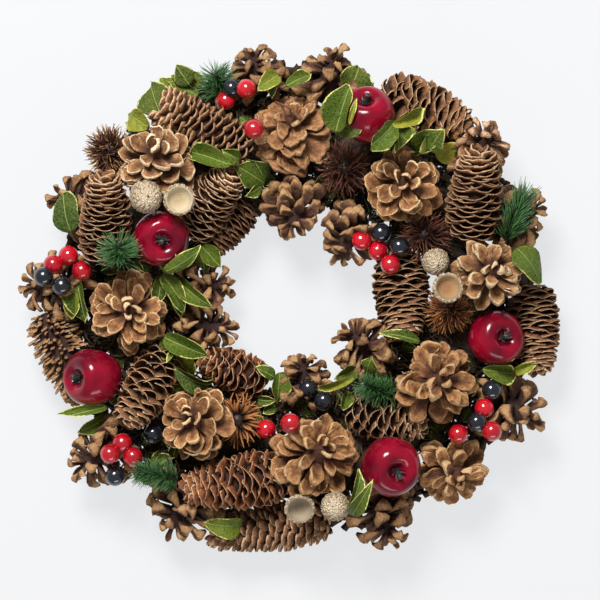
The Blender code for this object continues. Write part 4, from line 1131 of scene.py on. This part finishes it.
def appleBody(radius, k):
    body = lathe(np.array(appleProfile) * radius, 64)
    points = body["points"]
    angle = np.arctan2(points[:, 1], points[:, 0])
    lobes = 1 + 0.012 * np.cos(5 * angle + k) + 0.01 * np.cos(2 * angle + 2 * k)
    points[:, :2] *= lobes[:, None]
    away = np.hypot(points[:, 0], points[:, 1])
    points[:, 2] += 0.02 * radius * np.cos(5 * angle) * (points[:, 2] < 0) * away / radius
    return body


def appleStalkShape(radius, k):
    # A short stalk that leans a little, among dry sepals.
    t = np.linspace(0, 1, 8)[:, None]
    lean = np.array((math.cos(2.4 * k), math.sin(2.4 * k), 0)) * 1.8
    path = np.array((0, 0, 0.5 * radius)) * (1 - t) + np.array((0, 0, 0.99 * radius)) * t + lean * t * t
    stalk = tube(path, np.linspace(2.0, 1.3, 8) + 0.5 * smooth(0.8, 1, t[:, 0]), 10)
    rng = np.random.default_rng(seeds["stalk"] + k)
    turn = math.tau * np.arange(sepals) / sepals + rng.normal(0, 0.2, sepals)
    feet = polar(1.2, turn, np.full(sepals, 0.55 * radius))
    ends = polar(rng.uniform(3.4, 6.2, sepals), turn, rng.uniform(0.68, 0.84, sepals) * radius)
    return joined([stalk, growSpines(feet, ends, rng.normal(0, 0.4, (sepals, 3)), 1.3, 0.45, rng, rings=5)])


def buildApples():
    for k, (name, (x, y, azimuth, elevation, diameter)) in enumerate(apples.items()):
        parts = [appleBody(diameter / 2, k), appleStalkShape(diameter / 2, k)]
        shape = stood(joined(parts), name, x, y, None, azimuth, elevation)
        makeTied(name, "_lacquered", shape, [appleRed, appleStalk], "red_lacquer", eitherOf(parts))


buildApples()

# Acorn cups in pairs: centre, the way the mouth faces, diameter and the finish inside.
acornCups = {
    "acorn_cups_1": ((91, 24, 120, -70, 18, "cream"), (98, 7, 60, 78, 20, "orange")),
    "acorn_cups_2": ((24, -136, 0, -80, 19, "grey"), (1, -137, -80, 70, 20, "grey")),
    "acorn_cups_3": ((-99, 67, 180, -80, 21.5, "cream"), (-78, 65, 0, 84, 20.5, "cream")),
}
cupOuter = ((0, -0.62), (0.3, -0.59), (0.6, -0.46), (0.82, -0.25), (0.94, 0.0), (0.98, 0.2), (0.95, 0.34))
cupInner = ((0.86, 0.4), (0.77, 0.34), (0.72, 0.18), (0.65, 0.02), (0.5, -0.13), (0.25, -0.23), (0, -0.26))
cupKnobs = {"count": 300, "size": 0.105, "rise": 0.065}


def acornCup(diameter, seed):
    # Each point of the outside swells towards the nearest of many small knobs.
    rng = np.random.default_rng(seed)
    radius = diameter / 2
    cup = lathe(np.array(cupOuter + cupInner) * radius, 88)
    points = cup["points"]
    outerEnd = len(cupOuter) / (len(cupOuter) + len(cupInner) - 1)
    isOuter = cup["along"] < outerEnd
    count = cupKnobs["count"]
    level = (np.arange(count) + 0.5) / count * 2.0
    around = goldenAngle * np.arange(count) + rng.normal(0, 0.1, count)
    knobs = polar(np.sin(level) * radius, around, -0.62 * radius + (1 - np.cos(level)) * radius * 0.72)
    away = np.linalg.norm(points[:, None] - knobs[None], axis=2)
    swell = np.clip(1 - (away.min(1) / (radius * cupKnobs["size"])) ** 2, 0, 1)
    size = rng.uniform(0.5, 1.1, count)[away.argmin(1)]
    out = points - (0, 0, 0.1 * radius)
    out /= lengths(out)
    fade = smooth(outerEnd + 0.02, outerEnd - 0.06, cup["along"])
    points += out * (swell * size * cupKnobs["rise"] * radius * fade * isOuter)[:, None]
    # The tone rises on the knobs, so the hollows between them take the dark colour: painted shade.
    cup["tone"] = np.where(isOuter, 0.1 + 0.8 * swell, 0.6)
    return cup, isOuter


def topNear(points, x, y, reach):
    return points[distances(points, x, y) < reach, 2].max()


def buildCups():
    for name, pair in acornCups.items():
        parts, faces, materials = [], [], [cupOutside]
        for k, (x, y, azimuth, elevation, diameter, inside) in enumerate(pair):
            materials.append(cupInsides[inside])
            cup, isOuter = acornCup(diameter, seeds["acornCup"] + int(x))
            cup = moved(cup, placeAt(x, y, 0, azimuth, elevation))
            tops = [topNear(points, x, y, diameter / 2 - 1) for points in (solidPoints(name), cup["points"])]
            parts.append(shifted(cup, (0, 0, tops[0] - tops[1])))
            inner = (~isOuter).astype(int) * (k + 1)
            faces.append((inner[cup["quads"]].min(1), inner[cup["tris"]].min(1)))
        faces = np.concatenate([faces[0][0], faces[1][0], faces[0][1], faces[1][1]])
        makePiece(name + "_pair", joined(parts), materials, "acorn_cup", [name], faces)
        for part in parts:
            addTie(part["points"][0])


buildCups()
print("apples and acorn cups made")

# Greenery, as in the solids. A leaf has root, tip, width and tone, a sprig root, tip and style, and a
# berry its centre, with a third value where it is raised or lowered.
greenery = {
    "greenery_top_left": (
        ("leaf", -98, 113, -110, 123, 12, 0.8), ("leaf", -93, 124, -100, 144, 18, 0.15),
        ("leaf", -84, 137, -91, 147, 9, 0.65), ("leaf", -66, 135, -84, 144, 8, 0.5),
        ("leaf", -72, 142, -80, 155, 11, 0.1), ("leaf", -64, 141, -71, 153, 9, 0.7),
        ("sprig", -50, 131, -57, 154, "tuft"), ("red", -48, 133), ("black", -44, 141, -5), ("red", -34, 140),
        ("red", -29, 113), ("leaf", -13, 149, -25, 140, 10, 0.75), ("leaf", -8, 141, 7, 148, 8, 0.35),
    ),
    "greenery_top_right": (
        ("leaf", 35, 139, 40, 154, 17, 0.15), ("leaf", 24, 108, 33, 137, 15, 0.3),
        ("leaf", 33, 114, 38, 131, 3, 0.85), ("leaf", 63, 105, 50, 101, 8, 0.2),
        ("leaf", 63, 116, 48, 102, 12, 0.35), ("leaf", 61, 113, 80, 124, 8, 0.95),
        ("leaf", 64, 106, 77, 112, 7, 0.8), ("leaf", 74, 101, 92, 113, 12, 0.55),
        ("leaf", 86, 98, 94, 111, 11, 0.15), ("leaf", 92, 93, 106, 103, 13, 0.9),
    ),
    "leaves_inner_top": (
        ("leaf", -43, 88, -70, 97, 11, 0.45), ("leaf", -38, 92, -49, 98, 8, 0.4),
        ("leaf", -22, 77, -40, 89, 14, 0.3), ("leaf", -24, 75, -34, 70, 7, 0.25),
    ),
    "berries_inner_right": (
        ("red", 42, 40), ("black", 55, 45), ("red", 53, 33), ("black", 67, 36), ("red", 61, 24),
    ),
    "greenery_right": (("sprig", 144, 42, 156, 73, "brush"), ("leaf", 146, 32, 160, 11, 19, 0.35)),
    "greenery_lower_right": (
        ("leaf", 142, -48, 157, -43, 6, 0.8), ("leaf", 122, -46, 142, -50, 10, 0.35), ("black", 128, -59),
        ("red", 123, -71), ("black", 118, -80), ("red", 128, -86), ("red", 106, -88),
    ),
    "greenery_bottom": (
        ("leaf", -15, -52, -27, -45, 8, 0.3), ("leaf", -12, -48, -14, -66, 11, 0.55), ("red", -21, -85),
        ("red", -5, -80), ("black", 7, -58), ("black", 17, -66), ("leaf", 34, -60, 30, -71, 7, 0.4),
        ("leaf", 38, -52, 15, -57, 5, 0.8), ("leaf", 40, -46, 26, -51, 8, 0.2),
        ("leaf", 46, -48, 49, -38, 9, 0.3), ("sprig", 61, -64, 42, -55, "fluffy"),
    ),
    "greenery_lower_left": (
        ("leaf", -125, -71, -154, -77, 6, 0.5), ("leaf", -127, -76, -144, -86, 9, 0.55),
        ("black", -96, -88, 9), ("red", -116, -94), ("red", -124, -101), ("red", -109, -103),
        ("black", -121, -116), ("sprig", -79, -119, -108, -112, "fluffy"),
    ),
    "greenery_left": (
        ("sprig", -117, 22, -119, 39, "tuft"), ("leaf", -150, 44, -154, 69, 16, 0.15), ("red", -143, 20),
        ("red", -152, 30), ("red", -162, 24), ("black", -168, 16), ("black", -156, 10),
        ("leaf", -150, 6, -149, -10, 9, 0.7), ("leaf", -146, 14, -141, -11, 12, 0.2),
    ),
    "leaves_inner_left": (
        ("leaf", -65, 36, -53, 24, 10, 0.55), ("leaf", -88, 18, -66, 33, 9, 0.35),
        ("leaf", -90, 17, -76, -4, 10, 0.3), ("leaf", -81, 15, -59, -2, 10, 0.5),
        ("leaf", -90, -24, -63, -35, 11, 0.35), ("leaf", -80, -32, -86, -40, 4, 0.6),
        ("leaf", -76, -31, -69, -47, 9, 0.75), ("leaf", -82, -45, -59, -53, 9, 0.1),
    ),
}
# Single leaves glued to a cone or a cup: root, tip, width, tone.
gluedLeaves = {
    "spruce_cone_4": ((81, -28, 56, -23, 6, 0.3),),
    "spruce_cone_6": ((-36, -149, -59, -147, 12, 0.62),),
    "acorn_cups_2": ((34, -137, 40, -114, 7, 0.35), (35, -142, 47, -120, 8, 0.35)),
}
leafForm = {
    "oval": 0.82, "thickness": 0.5, "thinRoot": 0.0, "wave": 0.36, "skew": 0.05, "twist": 0.35,
    "stretch": 1.15, "broader": 1.28, "cups": (-0.3, 0.2, 0.6, 1.0, 1.5),
}
# The larger leaves of some clusters have a second leaf under them. Of the leaves that haven't, some
# have a shift of their place and a curl of their own.
companion = {
    "widerThan": 8, "below": 6.0, "turn": (0.45, 0.95), "length": (0.75, 0.95), "width": (0.8, 1.0),
    "tone": (0.0, 0.3),
}
leafyClusters = (
    "greenery_top_left", "greenery_top_right", "leaves_inner_left", "leaves_inner_top",
    "greenery_lower_left",
)
leavesApart = {
    ("greenery_top_left", 1): {"shift": (3, -2, -9), "curl": 0.1},
    ("greenery_top_right", 9): {"shift": (-1, 0, 26), "curl": 0.2},
    ("greenery_right", 1): {"shift": (-3, 3, 0), "curl": 0.0},
    ("leaves_inner_top", 0): {},
}
berryRadius = 6.6


def leafShape(root, tip, width, tone, rng, curl=None):
    tip = root + (tip - root) * leafForm["stretch"]
    dish, cup = rng.uniform(-0.22, -0.02), rng.choice(leafForm["cups"])
    half = width / 2 * leafForm["broader"]
    form = {**leafForm, "halfWidth": half, "dish": dish, "cup": cup if curl is None else curl}
    lift = np.array([[rng.normal(0, 0.35), rng.normal(0, 0.35), 1.0]])
    return growScales(leafGrid, root[None], tip[None], lift, form, rng, np.array([tone]))


def companionLeaf(root, tip, width, tone, rng):
    # A second leaf of the same sprig, turned aside and half hidden under the first.
    amount = rng.uniform(*companion["turn"])
    ways = [np.array(Matrix.Rotation(sign * amount, 3, "Z") @ Vector(tip - root)) for sign in (-1, 1)]
    way = min(ways, key=lambda leaf: abs(np.hypot(*(root + leaf - middle)[:2]) - ringRadius))
    root = root - (0, 0, companion["below"])
    tip = root + way * rng.uniform(*companion["length"])
    return leafShape(root, tip, width * rng.uniform(*companion["width"]), tone, rng)


sprigStyles = {
    "tuft": {"count": 270, "lean": 0.2, "reach": 16.0, "width": 0.45, "shorten": 0.1, "from": 0.35,
             "shift": (1, 0, -3)},
    "brush": {"count": 220, "lean": 1.5, "reach": 18.0, "width": 0.52, "shorten": 0.1, "from": 0.0,
              "shift": (-7, -3, 0)},
    "fluffy": {"count": 290, "lean": 0.6, "reach": 14.0, "width": 0.45, "shorten": 0.25, "from": 0.05,
               "shift": (0, 0, 0)},
}
bareTip = 4


def sprigShape(root, tip, style, seed):
    rng = np.random.default_rng(seed)
    form = sprigStyles[style]
    root, tip = root + form["shift"], tip + form["shift"]
    length = np.linalg.norm(tip - root)
    axis = (tip - root) / length
    count = form["count"]
    place = np.linspace(form["from"], 1.0, count)
    angle = goldenAngle * np.arange(count)
    side = np.cross(axis, (0, 0, 1.0))
    side /= np.linalg.norm(side)
    other = np.cross(side, axis)
    out = np.cos(angle)[:, None] * side + np.sin(angle)[:, None] * other
    lean = form["lean"] * (0.6 + 0.7 * place) + rng.normal(0, 0.22, count)
    way = out + axis * lean[:, None] + rng.normal(0, 0.14, (count, 3))
    way /= lengths(way)
    feet = root + axis * (place * (length - bareTip))[:, None]
    reach = form["reach"] * rng.uniform(0.72, 1.1, count) * (1 - form["shorten"] * place)
    bends = axis[None] * -0.7 + rng.normal(0, 0.3, (count, 3))
    needles = growSpines(feet, feet + way * reach[:, None], bends, form["width"], 0.6, rng, blunt=0.25)
    return needles, tube(np.linspace(root, tip - axis * bareTip, 8), 1.0, 7)


def berryShape(centre, rng):
    angle = np.linspace(0, math.pi, 17)
    profile = berryRadius * np.stack([np.sin(angle), -np.cos(angle)], -1)
    profile[0], profile[-1] = (0, -berryRadius * 0.94), (0, berryRadius * 0.985)
    lean = Matrix.Rotation(rng.uniform(-0.4, 0.4), 4, "X") @ Matrix.Rotation(rng.uniform(-0.4, 0.4), 4, "Y")
    return shifted(moved(lathe(profile, 30, 1), lean), centre)


clusterParts = {
    "leaves": (leafGreen, "leaf_green"), "red_berries": (berryRed, "berry_red"),
    "black_berries": (berryBlack, None), "needles": (needleGreen, "leaf_green"), "wires": (darkWire, "vine"),
}
clusterWire = {"hubHeight": 20, "sag": -6.0, "radii": (0.45, 0.8), "postFoot": 16, "postRadius": 1.4}
gluedLeaf = {"curl": 0.8, "stemDepth": 9, "stemRadius": 0.8}


def buildCluster(number, name, items):
    rng = np.random.default_rng(seeds["cluster"] + number)
    shapes = {label: [] for label in clusterParts}
    feet = []
    for k, (kind, *values) in enumerate(items):
        if kind in ("red", "black"):
            centre = spot(name, *values[:2]) + (0, 0, sum(values[2:]) - berryRadius)
            shapes[kind + "_berries"].append(berryShape(centre, rng))
            feet.append(centre)
            continue
        apart = leavesApart.get((name, k), {})
        shift = apart.get("shift", (0, 0, 0))
        root, tip = (spot(name, *place) + shift for place in (values[:2], values[2:4]))
        feet.append(root)
        if kind == "sprig":
            sprig, stem = sprigShape(root, tip, values[4], seeds["sprig"] + 10 * number + k)
            shapes["needles"].append(sprig)
            shapes["wires"].append(stem)
            continue
        width, tone = values[4:]
        shapes["leaves"].append(leafShape(root, tip, width, tone, rng, apart.get("curl")))
        if name in leafyClusters and width > companion["widerThan"] and (name, k) not in leavesApart:
            tone = rng.uniform(*companion["tone"])
            shapes["leaves"].append(companionLeaf(root, tip, width, tone, rng))
    # All wires of the cluster meet in one point over the ring.
    hub = np.mean(feet, axis=0)
    hub = 0.5 * hub + 0.5 * onRing(hub)
    hub[2] = clusterWire["hubHeight"]
    for foot in feet:
        path = bendPath(foot, hub, clusterWire["sag"])
        shapes["wires"].append(tube(path, np.linspace(*clusterWire["radii"], len(path)), 6))
    post = bendPath(hub, (hub[0], hub[1], clusterWire["postFoot"]), 0, 4)
    shapes["wires"].append(tube(post, clusterWire["postRadius"], 7))
    for label, (material, slot) in clusterParts.items():
        if shapes[label]:
            makePiece(name + "_" + label, joined(shapes[label]), [material], slot, [name])


def buildGreenery():
    for number, (name, items) in enumerate(greenery.items()):
        buildCluster(number, name, items)
    rng = np.random.default_rng(seeds["gluedLeaves"])
    for name, leaves in gluedLeaves.items():
        blades = []
        for x1, y1, x2, y2, width, tone in leaves:
            root = spot(name, x1, y1)
            blades.append(leafShape(root, spot(name, x2, y2), width, tone, rng, gluedLeaf["curl"]))
            stem = bendPath(root, root - (0, 0, gluedLeaf["stemDepth"]), 0, 4)
            ties.append(tube(stem, gluedLeaf["stemRadius"], 6))
        makePiece(name + "_leaves", joined(blades), [leafGreen], "leaf_green")


buildGreenery()
makePiece("ties", joined(ties), [darkWire], "vine")
print("greenery and ties made")

# Moss, broken twigs and small leaves tucked in wherever the pieces leave the ring or the floor bare. Their
# very dark colour is partly their own and partly painted shade for the gaps between the pieces.
undergrowth = {
    "cell": 2.0, "cells": 200, "closing": 5, "inner": 64, "outer": 150, "strandsEach": 2.2, "chipsEach": 0.3,
    "leafEach": 18,
}


def grown(mask, steps):
    for step in range(steps):
        wider = mask.copy()
        for axis in (0, 1):
            wider |= np.roll(mask, 1, axis) | np.roll(mask, -1, axis)
        if step % 2:
            for corner in ((1, 1), (1, -1), (-1, 1), (-1, -1)):
                wider |= np.roll(mask, corner, (0, 1))
        mask = wider
    return mask


def bareCells(edge, further=0):
    # Cells of a flat grid between the pieces that none of them covers, and edge more round each of them.
    size = undergrowth["cells"]
    index = np.floor(np.concatenate(covering) / undergrowth["cell"]).astype(int) + size // 2
    covered = np.zeros((size, size), bool)
    covered[index[:, 0], index[:, 1]] = True
    outside = grown(~grown(covered, undergrowth["closing"]), undergrowth["closing"])
    cells = np.argwhere(grown(~outside & ~covered, edge) & ~grown(outside, min(edge, 2)))
    places = (cells - size // 2 + 0.5) * undergrowth["cell"]
    away = np.hypot(places[:, 0], places[:, 1])
    return places[(away > undergrowth["inner"]) & (away < undergrowth["outer"] + further)]


def chipShape(cells, rng):
    count = int(len(cells) * undergrowth["chipsEach"])
    at = cells[rng.integers(0, len(cells), count)]
    heading = np.arctan2(at[:, 1], at[:, 0]) + math.pi / 2 + rng.normal(0, 0.5, count)
    half = polar(rng.uniform(2.5, 4.5, count), heading, rng.normal(0, 1, count))
    at = np.column_stack([at, rng.uniform(5, 15, count)]) + middle
    bends = rng.normal(0, 0.6, (count, 3))
    chips = growSpines(at - half, at + half, bends, 2.6, 0.5, rng, rings=3, blunt=0.7)
    chips["tone"] *= 0.5
    return chips


def strandShape(cells, rng):
    count = int(len(cells) * undergrowth["strandsEach"])
    at = cells[rng.integers(0, len(cells), count)] + rng.uniform(-1, 1, (count, 2)) * undergrowth["cell"]
    away = np.hypot(at[:, 0], at[:, 1])
    inward = np.arctan2(at[:, 1], at[:, 0]) + np.where(away > ringRadius, math.pi, 0)
    heading = inward + rng.normal(0, 0.8, count)
    reach = rng.uniform(8, 15, count)
    height = rng.uniform(6, 27, count)
    at = np.pad(at, ((0, 0), (0, 1)))
    start = polar(0.1 * reach, heading + math.pi, height) + at + middle
    tip = polar(0.9 * reach, heading, height + rng.normal(0, 4, count)) + at + middle
    tip[:, 2] = np.clip(tip[:, 2], 4, 32)
    bends = rng.normal(0, 1.1, (count, 3))
    return growSpines(start, tip, bends, 0.85, 0.8, rng, rings=3, sides=3, blunt=0.4)


def smallLeaves(cells, rng):
    blades = []
    for x, y in cells[rng.permutation(len(cells))[: len(cells) // undergrowth["leafEach"]]]:
        root = middle + (x, y, rng.uniform(20, 28))
        turn = math.atan2(y, x) + (math.pi if math.hypot(x, y) > ringRadius else 0) + rng.normal(0, 0.9)
        way = np.array((math.cos(turn), math.sin(turn), rng.normal(0, 0.25)))
        tip = root + way * rng.uniform(8, 13)
        blades.append(leafShape(root, tip, rng.uniform(5, 8), rng.uniform(0, 0.35), rng))
    return joined(blades)


def buildUndergrowth():
    rng = np.random.default_rng(seeds["undergrowth"])
    bare, wide = bareCells(0), bareCells(3, 8)
    makePiece("undergrowth_chips", chipShape(wide, rng), [mossAndPaintedShade], None)
    makePiece("undergrowth_moss", strandShape(bare, rng), [mossAndPaintedShade], None)
    makePiece("undergrowth_leaves", smallLeaves(bare, rng), [leafGreen], "leaf_green")
    print("undergrowth made over", len(bare), "cells")


buildUndergrowth()

# Floor, lights and camera. Places and sizes here are in metres, except where the camera aims.
studio = {
    "floor": (0.12, 0.1215, 0.124), "floorDark": (0.113, 0.1145, 0.117), "floorGlow": 0.735,
    "floorHalf": 2.5, "floorGap": 0.0004, "white": (0.97, 0.985, 1.0), "world": 0.32,
    "litHeight": 0.05, "cameraHeight": 3.0, "lens": 268, "sensor": 36, "clip": 20, "aim": (1.32, -0.66),
}
lights = {
    "key": {"power": 60, "size": (0.65, 0.65), "place": (-0.40, 1.10, 1.65)},
    "fill": {"power": 8, "size": (1.2, 0.42), "place": (0.3, -1.5, 0.75)},
}


def addToScene(name, data):
    thing = bpy.data.objects.new(name, data)
    bpy.context.scene.collection.objects.link(thing)
    return thing


def floorMaterial():
    g = newMaterial("floor_paper")
    paper = g.ease(g.noise(g.place(), 3.0), 0.3, 0.7)
    colour = g.mix(paper, studio["floor"], studio["floorDark"])
    return g.finish(colour, 0.6, shine=0.2, glow=studio["white"], glowStrength=studio["floorGlow"])


def buildStudio():
    mesh = bpy.data.meshes.new("floor")
    half, low = studio["floorHalf"], cadBox[0][2] - studio["floorGap"]
    corners = [(-half, -half, low), (half, -half, low), (half, half, low), (-half, half, low)]
    mesh.from_pydata(corners, [], [(0, 1, 2, 3)])
    mesh.materials.append(floorMaterial())
    floor = addToScene("floor", mesh)
    scene = bpy.context.scene
    scene.world = bpy.data.worlds.new("studio")
    scene.world.use_nodes = True
    background = scene.world.node_tree.nodes["Background"].inputs
    background["Color"].default_value = (*studio["white"], 1)
    background["Strength"].default_value = studio["world"]
    target = Vector(middle) * mm + Vector((0, 0, studio["litHeight"]))
    for name, light in lights.items():
        data = bpy.data.lights.new(name, "AREA")
        data.shape = "RECTANGLE"
        data.size, data.size_y = light["size"]
        data.energy = light["power"]
        lamp = addToScene(name, data)
        lamp.location = light["place"]
        lamp.rotation_euler = (target - Vector(light["place"])).to_track_quat("-Z", "Y").to_euler()
    data = bpy.data.cameras.new("camera")
    data.lens, data.sensor_width, data.clip_end = studio["lens"], studio["sensor"], studio["clip"]
    camera = addToScene("camera", data)
    aim = (np.array(studio["aim"]) + middle[:2]) * mm
    camera.location = (*aim, studio["cameraHeight"])
    scene.camera = camera
    scene.view_settings.view_transform = "Standard"


buildStudio()
print("studio made")
